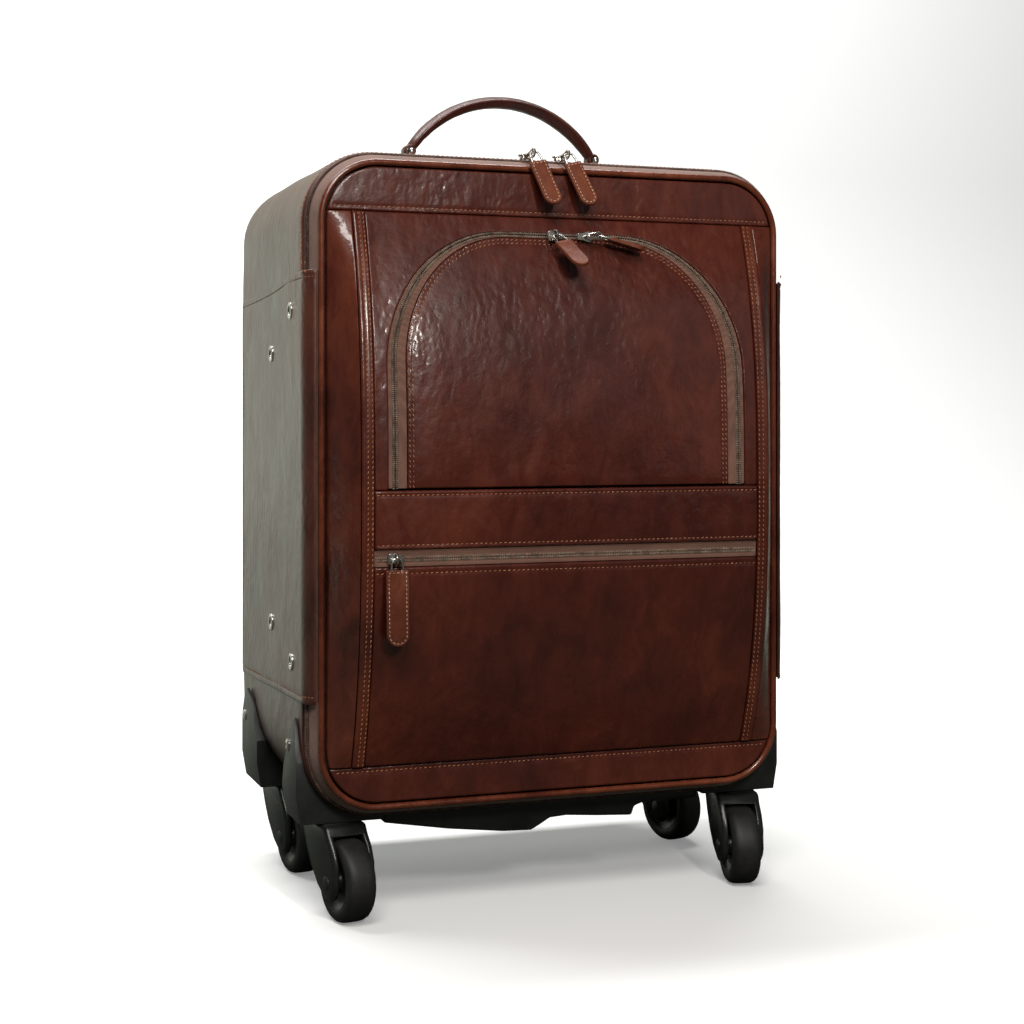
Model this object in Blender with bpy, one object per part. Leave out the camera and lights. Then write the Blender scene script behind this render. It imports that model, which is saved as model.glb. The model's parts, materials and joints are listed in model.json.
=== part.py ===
"""Rolling laptop case: leather body on four swivel casters, zipped lid with two pockets, two handles.

The case stands on the floor at Z = 0 and its lid faces -Y. Sizes are in metres. Depths are measured from the
lid's front plane, LID_Y, and grow towards the back of the case.
"""

import math

import bmesh
import bpy
from mathutils import Matrix, Vector

GAP = 0.0003

# Casters, from the floor up to the guards that carry the case.
WHEEL_R = 0.027
WHEEL_WIDE = 0.020
AXLE_R = 0.0030
AXLE_CLEAR = 0.0004
TRAIL = 0.022
FORK_CROWN = 0.0097
FORK_TOP = 2 * WHEEL_R + FORK_CROWN
FORK_WALL = 0.0047
WHEEL_SIDE = 0.0008
FORK_WIDE = WHEEL_WIDE + 2 * (WHEEL_SIDE + FORK_WALL)
WHEEL_ROOM = 0.0025
STEM_R = 0.005
STEM_TOP = FORK_TOP + 0.0063
GUARD_BOTTOM = FORK_TOP + GAP
CASTER_TURN = {"front_left": 10, "front_right": -12, "rear_left": 8, "rear_right": 14}

# Lid outline, at the groove inside the piping.
LID_Y = -0.0976
LID_HALF = 0.1625
LID_BOTTOM = GUARD_BOTTOM + 0.015
LID_HEIGHT = 0.42
LID_CORNER = 0.036
LID_TOP = LID_BOTTOM + LID_HEIGHT
BOARD_FRONT = 0.0015
BOARD_THICK = 0.006

# Perimeter zip: piping, lid tape and body tape, each with its half of the coil.
PIPING_R = 0.0022
PIPING_OUT = 0.0027
COIL_R = 0.0013
COIL_OUT = 0.0094
LID_COIL_DEPTH = 0.0106
BODY_COIL_DEPTH = 0.0136

# Body shell.
BODY_OUT = 0.0115
SHELL_FRONT = 0.0165
SHELL_BACK = 0.235
SHELL_WALL = 0.004
REAR_ROUND = 0.024
BODY_HALF = LID_HALF + BODY_OUT
BODY_BOTTOM = LID_BOTTOM - BODY_OUT
BODY_TOP = LID_TOP + BODY_OUT
BODY_FLOOR = BODY_BOTTOM + SHELL_WALL

# Side wings, which cover the side runs of the zip.
WING_THICK = 0.0016
WING_LOW = LID_BOTTOM + 0.063
WING_HIGH = LID_TOP - 0.072
WING_FRONT = 0.0
WING_BACK = SHELL_BACK - 0.026

# Raised front pocket stack.
STITCH_BAND = 0.0245
BAND_THICK = 0.0028
BAND_INSET = 0.0006
PILLOW = 0.026
PILLOW_POWER = 2.6
SKIN = 0.0016
PANEL_BASE = 0.0035
GUSSET_WIDE = 0.017
FOLD_OUTER = LID_HALF - GUSSET_WIDE
FOLD_WIDTH = 0.008
FOLD_PROUD = 0.001
SEAM = 0.0005
PANEL_LOW = LID_BOTTOM + STITCH_BAND + SEAM
PANEL_HIGH = LID_TOP - 0.0305
BAND_HIGH = PANEL_HIGH + SEAM
PANEL_HALF = FOLD_OUTER - FOLD_WIDTH - SEAM
PILLOW_MID = (PANEL_LOW + PANEL_HIGH) / 2
PILLOW_HALF = (PANEL_HIGH - PANEL_LOW) / 2

# Lower pocket, its zip and the band above it.
SLOT_LOW = LID_BOTTOM + 0.1578
SLOT_HIGH = SLOT_LOW + 0.011
SLOT_SUNK = 0.0012
MID_BAND_HIGH = SLOT_HIGH + 0.0382
MID_BAND_PROUD = 0.001

# Arched flap: half width, top, and the half axes of its elliptical shoulders. Coil and opening go round it.
FLAP = {"half": PANEL_HALF - 0.022, "top": PANEL_HIGH - 0.0145, "wide": 0.075, "tall": 0.085}
COIL_LINE = {"half": FLAP["half"] + 0.0063, "top": FLAP["top"] + 0.0020, "wide": 0.080, "tall": 0.088}
OPENING = {"half": FLAP["half"] + 0.0128, "top": FLAP["top"] + 0.0038, "wide": 0.085, "tall": 0.092}
FLAP_LOW = MID_BAND_HIGH + 0.0013
FLAP_HINGE_Z = MID_BAND_HIGH + 0.0007
TAPE_SUNK = 0.0010

# Zip sliders and pulls.
SLIDER_LONG = 0.011
SLIDER_WIDE = 0.0075
SLIDER_THICK = 0.0036
LUG = 0.0058
LUG_WIDE = 0.003
LUG_HOLE_R = 0.0022
PULL_BAR = 0.0018
PULL_THICK = 0.0020
PULL_WINDOW = 0.0072
MAIN_PULL = (0.0125, 0.041)
ARCH_PULL = (0.0125, 0.034)
TWISTED_PULL = (0.0115, 0.034)
LOWER_PULL = (0.0150, 0.056)
MAIN_SLIDER_X = (-0.0185, 0.0065)
ARCH_SLIDER_X = (-0.0065, 0.0150)
LOWER_SLIDER_X = 0.0135 - PANEL_HALF
TWIST_REACH = 0.0078
TWIST_OUT = 0.0084

# Carry handle.
HANDLE_DEPTH = 0.115
HANDLE_SPAN = 0.072
HANDLE_PIVOT_Z = BODY_TOP + 0.0100
HANDLE_RISE = 0.0466
STRAP_WIDE = 0.020
STRAP_THICK = 0.0085
RING_WIRE = 0.0030
RING_INSIDE = 0.0080
RING_PLAY = 0.0009
STAPLE_R = 0.0015
RING_BORE = RING_WIRE * 0.78
EYE_R = RING_BORE + 0.0022
EYE_Z = HANDLE_PIVOT_Z + STAPLE_R * math.sqrt(2) + EYE_R + GAP

# Trolley handle.
TROLLEY_DEPTH = SHELL_BACK - 0.045
TUBE_WALL = 0.0010
OUTER_TUBE = (0.0200, 0.0130)
TUBE_CLEAR = 0.0003
BEZEL_HALF = LID_HALF - 0.0325
BEZEL_DEEP = 0.022
BEZEL_FLOOR = 0.003
FLANGE = 0.004
FLANGE_THICK = 0.0015
GRIP_HALF = BEZEL_HALF - 0.008
TUBE_X = GRIP_HALF - 0.017
GRIP_WIDE = 0.0175
BEZEL_WIDE = GRIP_WIDE + 0.0205
GRIP_TALL = 0.021
BUTTON_HALF = 0.018
BUTTON_WIDE = 0.009
BUTTON_TALL = 0.006
BUTTON_PROUD = 0.0035
SCOOP_HALF = 0.040
SCOOP_WIDE = 0.0045
GRIP_ROOM = 0.0008

# Inside the case.
LINING_DEPTH = TROLLEY_DEPTH - 0.021
LINING_THICK = 0.003
SLEEVE_DEEP = 0.042
SLEEVE_PAD = 0.006
SLEEVE_SIDE = 0.018
SLEEVE_HALF = BODY_HALF - SHELL_WALL - SLEEVE_SIDE
SLEEVE_TOP = 0.370
SLEEVE_FRONT = LINING_DEPTH - SLEEVE_DEEP
HINGE_DEPTH = (LID_COIL_DEPTH + BODY_COIL_DEPTH) / 2
HINGE_Z = LID_BOTTOM - COIL_OUT - 0.0020

# Corner guards, whose heights are above their lower edge, and the tray between them.
GUARD_PROUD = 0.0038
GUARD_OUTER = BODY_HALF + GUARD_PROUD
GUARD_REACH = 0.0598
GUARD_INNER = GUARD_OUTER - GUARD_REACH
PIVOT_X = GUARD_OUTER - 0.0293
PIVOT_DEPTHS = {"front": 0.033, "rear": SHELL_BACK - 0.066}
GUARD_DROP = 0.004
FRONT_FIN = [(0.0178, -GUARD_DROP), (0.0178, 0.041), (0.0250, 0.058), (0.0310, 0.069), (0.0375, 0.063),
             (0.0465, 0.047), (0.0560, 0.034), (0.0600, 0.022), (0.0600, -GUARD_DROP)]
REAR_FIN = [(-0.0900, -GUARD_DROP), (-0.0900, 0.034), (-0.0770, 0.048), (-0.0610, 0.060), (-0.0460, 0.066),
            (-0.0385, 0.058), (-0.0350, 0.041), (-0.0350, -GUARD_DROP)]
GUARD_SIDE = {"front": FRONT_FIN, "rear": [(SHELL_BACK + depth, height) for depth, height in REAR_FIN]}
TRAY_HALF = GUARD_INNER - 0.0015
TRAY_FRONT = 0.024
TRAY_BACK = SHELL_BACK - 0.035


def clear_scene():
    for old in list(bpy.data.objects):
        bpy.data.objects.remove(old)


def finish_material(name, colour, roughness, metallic=0.0):
    made = bpy.data.materials.new(name)
    made.use_nodes = True
    shader = made.node_tree.nodes["Principled BSDF"]
    shader.inputs["Base Color"].default_value = (*colour, 1.0)
    shader.inputs["Roughness"].default_value = roughness
    shader.inputs["Metallic"].default_value = metallic
    return made


def make_materials():
    return {
        "leather": finish_material("leather", (0.16, 0.035, 0.018), 0.28),
        "pull_leather": finish_material("pull_leather", (0.34, 0.10, 0.04), 0.4),
        "zip_tape": finish_material("zip_tape", (0.24, 0.13, 0.09), 0.8),
        "zip_metal": finish_material("zip_metal", (0.75, 0.73, 0.70), 0.25, 1.0),
        "black_plastic": finish_material("black_plastic", (0.02, 0.022, 0.021), 0.4),
        "wheel_rubber": finish_material("wheel_rubber", (0.025, 0.027, 0.026), 0.5),
        "tube_metal": finish_material("tube_metal", (0.7, 0.7, 0.71), 0.3, 1.0),
        "lining": finish_material("lining", (0.12, 0.08, 0.05), 0.9),
    }


def add_object(name, points, faces, finish, origin=(0.0, 0.0, 0.0)):
    """A closed mesh object, its points given in world space and kept about its origin."""
    origin = Vector(origin)
    mesh = bpy.data.meshes.new(name)
    mesh.from_pydata([Vector(point) - origin for point in points], [], faces)
    shell = bmesh.new()
    shell.from_mesh(mesh)
    bmesh.ops.recalc_face_normals(shell, faces=shell.faces)
    shell.to_mesh(mesh)
    shell.free()
    made = bpy.data.objects.new(name, mesh)
    made.location = origin
    bpy.context.scene.collection.objects.link(made)
    if finish is not None:
        mesh.materials.append(MATERIALS[finish])
    return made


def smooth(made, degrees=40):
    made.data.shade_smooth()
    made.data.set_sharp_from_angle(angle=math.radians(degrees))
    return made


def skin_rings(count, size, closed):
    """Faces that join `count` rings of `size` points, capped unless the rings close on themselves."""
    faces = []
    for ring in range(count if closed else count - 1):
        following = (ring + 1) % count
        for step in range(size):
            nxt = (step + 1) % size
            near, far = ring * size, following * size
            faces.append((near + step, near + nxt, far + nxt, far + step))
    if not closed:
        faces.append(tuple(range(size)))
        faces.append(tuple((count - 1) * size + step for step in range(size)))
    return faces


def case_outline(out, steps=6):
    """The rounded rectangle of the case in the XZ plane, `out` metres outside the lid's groove."""
    radius = LID_CORNER + out
    centre_x = LID_HALF - LID_CORNER
    points = []
    for sign_x, centre_z, start in (
        (1, LID_BOTTOM + LID_CORNER, -90),
        (1, LID_TOP - LID_CORNER, 0),
        (-1, LID_TOP - LID_CORNER, 90),
        (-1, LID_BOTTOM + LID_CORNER, 180),
    ):
        for step in range(steps + 1):
            angle = math.radians(start + 90 * step / steps)
            x = sign_x * centre_x + radius * math.cos(angle)
            points.append((x, centre_z + radius * math.sin(angle)))
    return points


def case_loft(name, stations, finish, closed=False, origin=(0.0, 0.0, 0.0)):
    """A solid through case outlines, each station a pair of depth and distance outside the groove."""
    points = []
    for depth, out in stations:
        points += [(x, LID_Y + depth, z) for x, z in case_outline(out)]
    size = len(case_outline(0.0))
    return smooth(add_object(name, points, skin_rings(len(stations), size, closed), finish, origin))


def extrude(name, outline, place, low, high, finish, origin=(0.0, 0.0, 0.0)):
    """An outline of pairs, turned into points by place(a, b, t), extruded from t = low to t = high."""
    points = [place(a, b, low) for a, b in outline] + [place(a, b, high) for a, b in outline]
    return add_object(name, points, skin_rings(2, len(outline), False), finish, origin)


def across_x(depth, z, x):
    return (x, LID_Y + depth, z)


def across_y(x, z, depth):
    return (x, LID_Y + depth, z)


def across_z(x, depth, z):
    return (x, LID_Y + depth, z)


def box(name, low, high, finish=None, origin=(0.0, 0.0, 0.0)):
    """A box between two corners, given as x, depth and z."""
    outline = [(low[0], low[1]), (high[0], low[1]), (high[0], high[1]), (low[0], high[1])]
    return extrude(name, outline, across_z, low[2], high[2], finish, origin)


def circle(centre_a, centre_b, radius, sides=16):
    turns = [2 * math.pi * side / sides for side in range(sides)]
    return [(centre_a + radius * math.cos(turn), centre_b + radius * math.sin(turn)) for turn in turns]


def bevelled(made, width, segments=2):
    bevel = made.modifiers.new("bevel", "BEVEL")
    bevel.width = width
    bevel.segments = segments
    bevel.limit_method = "ANGLE"
    bevel.angle_limit = math.radians(40)
    return made


def combine(made, helper, operation):
    """Cut, join or intersect with a helper, which stays in the file as a hidden wire object."""
    boolean = made.modifiers.new(operation.lower(), "BOOLEAN")
    boolean.operation = operation
    boolean.solver = "EXACT"
    boolean.object = helper
    helper.hide_render = True
    helper.display_type = "WIRE"
    return made


def cut(made, helper):
    return combine(made, helper, "DIFFERENCE")


def join(made, helper):
    return combine(made, helper, "UNION")


def pillow(z):
    """How far the front pocket stack is puffed out at a height."""
    reach = min(abs(z - PILLOW_MID) / PILLOW_HALF, 1.0)
    return PILLOW * (1.0 - reach**PILLOW_POWER)


def panel_front(x, z, proud=0.0):
    """Depth of the front face of the pocket stack, negative towards the front and the same all across."""
    return -(PANEL_BASE + proud + pillow(z))


def lid_half_at(z, out=0.0):
    """Half width of the lid's outline at a height."""
    radius = LID_CORNER + out
    over = max(LID_BOTTOM + LID_CORNER - z, z - LID_TOP + LID_CORNER, 0.0)
    return LID_HALF - LID_CORNER + math.sqrt(max(radius**2 - over**2, 0.0))


def arch_half_at(arch, z):
    """Half width of an arched outline at a height."""
    over = max(z - (arch["top"] - arch["tall"]), 0.0) / arch["tall"]
    return arch["half"] - arch["wide"] * (1.0 - math.sqrt(max(1.0 - over**2, 0.0)))


def arch_edge(arch, low, legs=4, shoulder=9):
    """An arched outline from its left foot over the top to its right foot."""
    spring = arch["top"] - arch["tall"]
    left = [(-arch["half"], low + (spring - low) * step / legs) for step in range(legs)]
    for step in range(shoulder + 1):
        angle = math.radians(90 * step / shoulder)
        x = -(arch["half"] - arch["wide"]) - arch["wide"] * math.cos(angle)
        left.append((x, spring + arch["tall"] * math.sin(angle)))
    return left + [(-x, z) for x, z in reversed(left)]


def sheet(name, rows, front, thick, finish, origin=(0.0, 0.0, 0.0)):
    """A thin solid behind a grid of (x, z) rows, its front face at the depth front(x, z)."""
    wide = len(rows[0])
    faces_at = [[(x, front(x, z), z) for x, z in row] for row in rows]
    front_points = [(x, LID_Y + depth, z) for row in faces_at for x, depth, z in row]
    back_points = [(x, LID_Y + depth + thick, z) for row in faces_at for x, depth, z in row]
    total = len(front_points)
    faces = []
    for low in range(len(rows) - 1):
        for left in range(wide - 1):
            start = low * wide + left
            quad = (start, start + 1, start + 1 + wide, start + wide)
            faces.append(quad)
            faces.append(tuple(total + index for index in reversed(quad)))
    rim = list(range(wide))
    rim += [row * wide + wide - 1 for row in range(1, len(rows))]
    rim += [(len(rows) - 1) * wide + column for column in range(wide - 2, -1, -1)]
    rim += [row * wide for row in range(len(rows) - 2, 0, -1)]
    for index, start in enumerate(rim):
        end = rim[(index + 1) % len(rim)]
        faces.append((end, start, total + start, total + end))
    return smooth(add_object(name, front_points + back_points, faces, finish, origin), 50)


def spaced(low, high, count, ease=False):
    """Heights from low to high, closer together towards the top when eased."""
    shares = [step / count for step in range(count + 1)]
    if ease:
        shares = [math.sin(math.pi / 2 * share) for share in shares]
    return [low + (high - low) * share for share in shares]


def rows_between(left, right, heights, columns):
    """A grid of rows whose ends are left(z) and right(z)."""
    rows = []
    for z in heights:
        start, end = left(z), right(z)
        rows.append([(start + (end - start) * step / columns, z) for step in range(columns + 1)])
    return rows


def mirrored_rows(half, heights, columns):
    return rows_between(lambda z: -half(z), half, heights, columns)


def turned_about_x(name, profile, centre, finish, sides=24, origin=(0.0, 0.0, 0.0)):
    """A ring turned about an X axis through centre, from a closed profile of (x, radius) pairs."""
    points = []
    for side in range(sides):
        angle = 2 * math.pi * side / sides
        for x, radius in profile:
            across, up = radius * math.cos(angle), radius * math.sin(angle)
            points.append((centre[0] + x, centre[1] + across, centre[2] + up))
    return smooth(add_object(name, points, skin_rings(sides, len(profile), True), finish, origin), 35)


def build_shell():
    inner_round = REAR_ROUND - SHELL_WALL
    arc = [math.radians(90 * step / 4) for step in range(5)]
    outside = [
        (SHELL_BACK - REAR_ROUND * (1 - math.sin(turn)), BODY_OUT - REAR_ROUND * (1 - math.cos(turn)))
        for turn in arc
    ]
    inside = [
        (SHELL_BACK - SHELL_WALL - inner_round * (1 - math.sin(turn)),
         BODY_OUT - SHELL_WALL - inner_round * (1 - math.cos(turn)))
        for turn in arc
    ]
    stations = inside[::-1] + [(SHELL_FRONT, BODY_OUT - SHELL_WALL), (SHELL_FRONT, BODY_OUT)] + outside
    shell = case_loft("body_shell", stations, "leather")
    half, wide = BEZEL_HALF - FLANGE + GAP, BEZEL_WIDE / 2 - FLANGE + GAP
    slot = box("bezel_slot", (-half, TROLLEY_DEPTH - wide, BODY_TOP - 2 * SHELL_WALL),
               (half, TROLLEY_DEPTH + wide, BODY_TOP + SHELL_WALL))
    cut(shell, slot)


def build_wings():
    side = BODY_HALF + GAP
    middle = (WING_LOW + WING_HIGH) / 2
    for name, sign in (("side_wing_left", -1), ("side_wing_right", 1)):
        outline = [(WING_FRONT, WING_LOW + 0.004), (WING_BACK, WING_LOW - 0.003),
                   (WING_BACK, WING_HIGH - 0.006),
                   (WING_BACK * 0.72, WING_HIGH - 0.0045), (WING_BACK * 0.48, WING_HIGH - 0.002),
                   (WING_BACK * 0.24, WING_HIGH + 0.003),
                   (WING_FRONT, WING_HIGH + 0.003), (WING_FRONT, middle)]
        wing = extrude(name, outline, across_x, sign * side, sign * (side + WING_THICK), "leather")
        bevelled(wing, WING_THICK * 0.3, 1)


def build_zip_rings():
    piping = [(PIPING_R * math.cos(turn), PIPING_OUT + PIPING_R * math.sin(turn))
              for turn in (math.radians(45 * side) for side in range(8))]
    hinge = (0.0, LID_Y + HINGE_DEPTH, HINGE_Z)
    case_loft("lid_piping", piping, "leather", True, hinge)
    bead = [math.radians(angle) for angle in (-120, -60, 0, 60, 120)]
    lid_bead = [(LID_COIL_DEPTH + COIL_R * math.cos(turn), COIL_OUT + COIL_R * math.sin(turn))
                for turn in bead]
    lid_tape = [(0.0018, 0.0048)] + lid_bead + [(0.0012, 0.0060)]
    case_loft("lid_zip_tape", lid_tape, "zip_tape", True, hinge)
    body_bead = [(BODY_COIL_DEPTH - COIL_R * math.cos(turn), COIL_OUT + COIL_R * math.sin(turn))
                 for turn in bead]
    edge = SHELL_FRONT - GAP
    body_tape = [(edge, BODY_OUT - SHELL_WALL * 0.6)] + body_bead + [(edge, BODY_OUT - 0.0005)]
    case_loft("body_zip_tape", body_tape, "zip_tape", True)


def build_lid_panels():
    hinge = (0.0, LID_Y + HINGE_DEPTH, HINGE_Z)
    case_loft("lid_board", [(BOARD_FRONT, -SEAM), (BOARD_FRONT + BOARD_THICK, -SEAM)], "lining", origin=hinge)

    def band_front(x, z):
        return BOARD_FRONT - GAP - BAND_THICK

    def band_half(z):
        return lid_half_at(z, -BAND_INSET)

    low = [LID_BOTTOM + BAND_INSET + (PANEL_LOW - SEAM - LID_BOTTOM - BAND_INSET) * (1 - math.cos(turn))
           for turn in (math.radians(15 * step) for step in range(7))]
    top = LID_TOP - BAND_INSET
    turns = [math.radians(15 * step) for step in range(7)]
    high = [top - (top - BAND_HIGH) * (1 - math.cos(turn)) for turn in turns]
    sheet("bottom_band", mirrored_rows(band_half, low, 6), band_front, BAND_THICK, "leather", hinge)
    sheet("top_band", mirrored_rows(band_half, high[::-1], 6), band_front, BAND_THICK, "leather", hinge)

    heights = spaced(PANEL_LOW, PANEL_HIGH, 16)
    for side, sign in (("left", -1), ("right", 1)):
        inner = FOLD_OUTER + SEAM

        def gusset_front(x, z):
            outer = lid_half_at(z, -BAND_INSET)
            share = (abs(x) - inner) / (outer - inner)
            return -(PANEL_BASE + pillow(z)) * (1 - share) + (BOARD_FRONT - GAP - 2 * SKIN) * share

        gusset = rows_between(lambda z: sign * inner, lambda z: sign * lid_half_at(z, -BAND_INSET), heights,
                              2)
        sheet(f"side_gusset_{side}", gusset, gusset_front, 2 * SKIN, "leather", hinge)
        fold = rows_between(lambda z: sign * (PANEL_HALF + SEAM), lambda z: sign * FOLD_OUTER, heights, 1)
        sheet(f"fold_strip_{side}", fold, lambda x, z: panel_front(x, z, FOLD_PROUD), SKIN + FOLD_PROUD,
              "leather", hinge)

    def full(z):
        return PANEL_HALF

    lower = mirrored_rows(full, spaced(PANEL_LOW, SLOT_LOW - GAP, 8), 8)
    sheet("lower_pocket_panel", lower, panel_front, SKIN, "leather", hinge)
    chain = mirrored_rows(full, spaced(SLOT_LOW, SLOT_HIGH, 2), 8)
    sheet("lower_zip_chain", chain, lambda x, z: panel_front(x, z, -SLOT_SUNK), SKIN, "zip_tape", hinge)
    band = mirrored_rows(full, spaced(SLOT_HIGH + GAP, MID_BAND_HIGH, 3), 8)
    sheet("mid_band", band, lambda x, z: panel_front(x, z, MID_BAND_PROUD), SKIN + MID_BAND_PROUD,
          "leather", hinge)
    upper = mirrored_rows(full, spaced(MID_BAND_HIGH + GAP, PANEL_HIGH, 12), 8)
    panel = sheet("upper_panel", upper, panel_front, SKIN, "leather", hinge)
    mouth = arch_edge(OPENING, MID_BAND_HIGH - SKIN)
    cut(panel, extrude("pocket_mouth", mouth, across_y, -2 * PILLOW, PILLOW, None))


def build_flap():
    hinge_depth = panel_front(0.0, FLAP_HINGE_Z)
    hinge = (0.0, LID_Y + hinge_depth, FLAP_HINGE_Z)
    rows = mirrored_rows(lambda z: arch_half_at(FLAP, z), spaced(FLAP_LOW, FLAP["top"], 14, True), 8)
    sheet("pocket_flap", rows, panel_front, SKIN, "leather", hinge)

    def inset(arch, by):
        return {**arch, "half": arch["half"] + by, "top": arch["top"] + by}

    def strip(name, inner, outer, origin):
        pairs = zip(arch_edge(inner, FLAP_LOW), arch_edge(outer, FLAP_LOW))
        sheet(name, [list(pair) for pair in pairs], lambda x, z: panel_front(x, z, -TAPE_SUNK), SKIN,
              "zip_tape", origin)

    strip("flap_zip_inner", inset(FLAP, GAP), inset(COIL_LINE, -GAP), hinge)
    lid_hinge = (0.0, LID_Y + HINGE_DEPTH, HINGE_Z)
    strip("flap_zip_outer", inset(COIL_LINE, GAP), inset(OPENING, -GAP), lid_hinge)


def turn_about(made, pivot, turn):
    """Turn an object about a pivot that is its own origin."""
    made.location = pivot
    made.rotation_euler = turn.to_euler()
    return made


def build_slider(name, centre, lug_at, on_face):
    """A slider block on its chain, on the case's top or on its front face, with a lug for the pull's bar."""
    x, depth, z = centre
    half = SLIDER_LONG / 2
    if on_face:
        low = (x - half, depth - SLIDER_THICK, z - SLIDER_WIDE / 2)
        high = (x + half, depth, z + SLIDER_WIDE / 2)
    else:
        low = (x - half, depth - SLIDER_WIDE / 2, z)
        high = (x + half, depth + SLIDER_WIDE / 2, z + SLIDER_THICK)
    block = bevelled(box(name, low, high, "zip_metal", (x, LID_Y + depth, z)), 0.0008, 1)
    lug_depth, lug_z = lug_at
    half_lug = LUG / 2
    far = max(lug_depth + half_lug, depth - SLIDER_THICK * 0.5 if on_face else depth)
    arm = box(f"{name}_arm", (x - LUG_WIDE / 2, lug_depth - half_lug, lug_z - half_lug),
              (x + LUG_WIDE / 2, far, lug_z + half_lug))
    join(block, arm)
    hole = extrude(f"{name}_hole", circle(lug_depth, lug_z, LUG_HOLE_R, 12), across_x, x - LUG_WIDE,
                   x + LUG_WIDE, None)
    cut(block, hole)


def build_twisted_slider(name, centre):
    """A slider on the front face whose lug is bored front to back, so its pull lies on edge beside it."""
    x, depth, z = centre
    half = SLIDER_LONG / 2
    block = box(name, (x - half, depth - SLIDER_THICK, z - SLIDER_WIDE / 2),
                (x + half, depth, z + SLIDER_WIDE / 2), "zip_metal", (x, LID_Y + depth, z))
    bevelled(block, 0.0008, 1)
    lug_mid = depth - TWIST_OUT
    post = box(f"{name}_post", (x - 0.002, lug_mid, z - 0.002),
               (x + 0.002, depth - SLIDER_THICK / 2, z + 0.002))
    join(block, post)
    arm = box(f"{name}_arm", (x - 0.0025, lug_mid - LUG_WIDE / 2, z - LUG / 2),
              (x + TWIST_REACH + LUG / 2, lug_mid + LUG_WIDE / 2, z + LUG / 2))
    join(block, arm)
    hole = extrude(f"{name}_hole", circle(x + TWIST_REACH, z, LUG_HOLE_R, 12), across_y, lug_mid - LUG_WIDE,
                   lug_mid + LUG_WIDE, None)
    cut(block, hole)


def build_pull(name, pivot, size, tilt, lean, on_edge=False):
    """A flat leather pull with a window at its top, whose bar hangs in the slider's lug."""
    wide, long = size
    neck = 0.0052
    tip = long - wide / 2
    outline = [(-neck, PULL_BAR / 2), (-neck, -PULL_WINDOW), (-wide / 2, -PULL_WINDOW - 0.003)]
    for step in range(7):
        angle = math.radians(180 + 180 * step / 6)
        outline.append((wide / 2 * math.cos(angle), -tip + wide / 2 * math.sin(angle)))
    outline += [(wide / 2, -PULL_WINDOW - 0.003), (neck, -PULL_WINDOW), (neck, PULL_BAR / 2)]
    half = PULL_THICK / 2

    def flat(x, z, depth):
        return (x, depth, z)

    made = extrude(name, outline, flat, -half, half, "pull_leather")
    window_outline = [(-0.0030, -PULL_WINDOW), (0.0030, -PULL_WINDOW), (0.0030, -PULL_BAR / 2),
                      (-0.0030, -PULL_BAR / 2)]
    window = extrude(f"{name}_window", window_outline, flat, -0.005, 0.005, None)
    turn = Matrix.Rotation(math.radians(-tilt), 3, "X") @ Matrix.Rotation(math.radians(-lean), 3, "Y")
    if on_edge:
        turn = Matrix.Rotation(math.radians(-lean), 3, "Y") @ Matrix.Rotation(math.radians(90), 3, "Z")
    place = (pivot[0], LID_Y + pivot[1], pivot[2])
    turn_about(made, place, turn)
    turn_about(window, place, turn)
    return cut(made, window)


def build_zip_pulls():
    top_z = LID_TOP + COIL_OUT + COIL_R + GAP
    top_depth = HINGE_DEPTH
    for side, x, lean in (("left", MAIN_SLIDER_X[0], 14), ("right", MAIN_SLIDER_X[1], 16)):
        lug = (-0.0028, top_z + 0.0030)
        build_slider(f"main_slider_{side}", (x, top_depth, top_z), lug, False)
        build_pull(f"main_pull_{side}", (x, *lug), MAIN_PULL, 24, lean)
    arch_z = COIL_LINE["top"]
    face = panel_front(0.0, arch_z - SLIDER_WIDE / 2) - GAP
    lug = (face - SLIDER_THICK - 0.0027, arch_z)
    build_slider("arch_slider_left", (ARCH_SLIDER_X[0], face, arch_z), lug, True)
    build_pull("arch_pull_left", (ARCH_SLIDER_X[0], *lug), ARCH_PULL, 48, 18)
    build_twisted_slider("arch_slider_right", (ARCH_SLIDER_X[1], face, arch_z))
    pivot = (ARCH_SLIDER_X[1] + TWIST_REACH, face - TWIST_OUT, arch_z)
    build_pull("arch_pull_right", pivot, TWISTED_PULL, 0, 76, True)
    slot_z = (SLOT_LOW + SLOT_HIGH) / 2
    face = panel_front(0.0, slot_z, -SLOT_SUNK) - GAP
    lug = (face - SLIDER_THICK - 0.0020, slot_z)
    build_slider("lower_slider", (LOWER_SLIDER_X, face, slot_z), lug, True)
    build_pull("lower_pull", (LOWER_SLIDER_X, *lug), LOWER_PULL, 3, 0)


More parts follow.
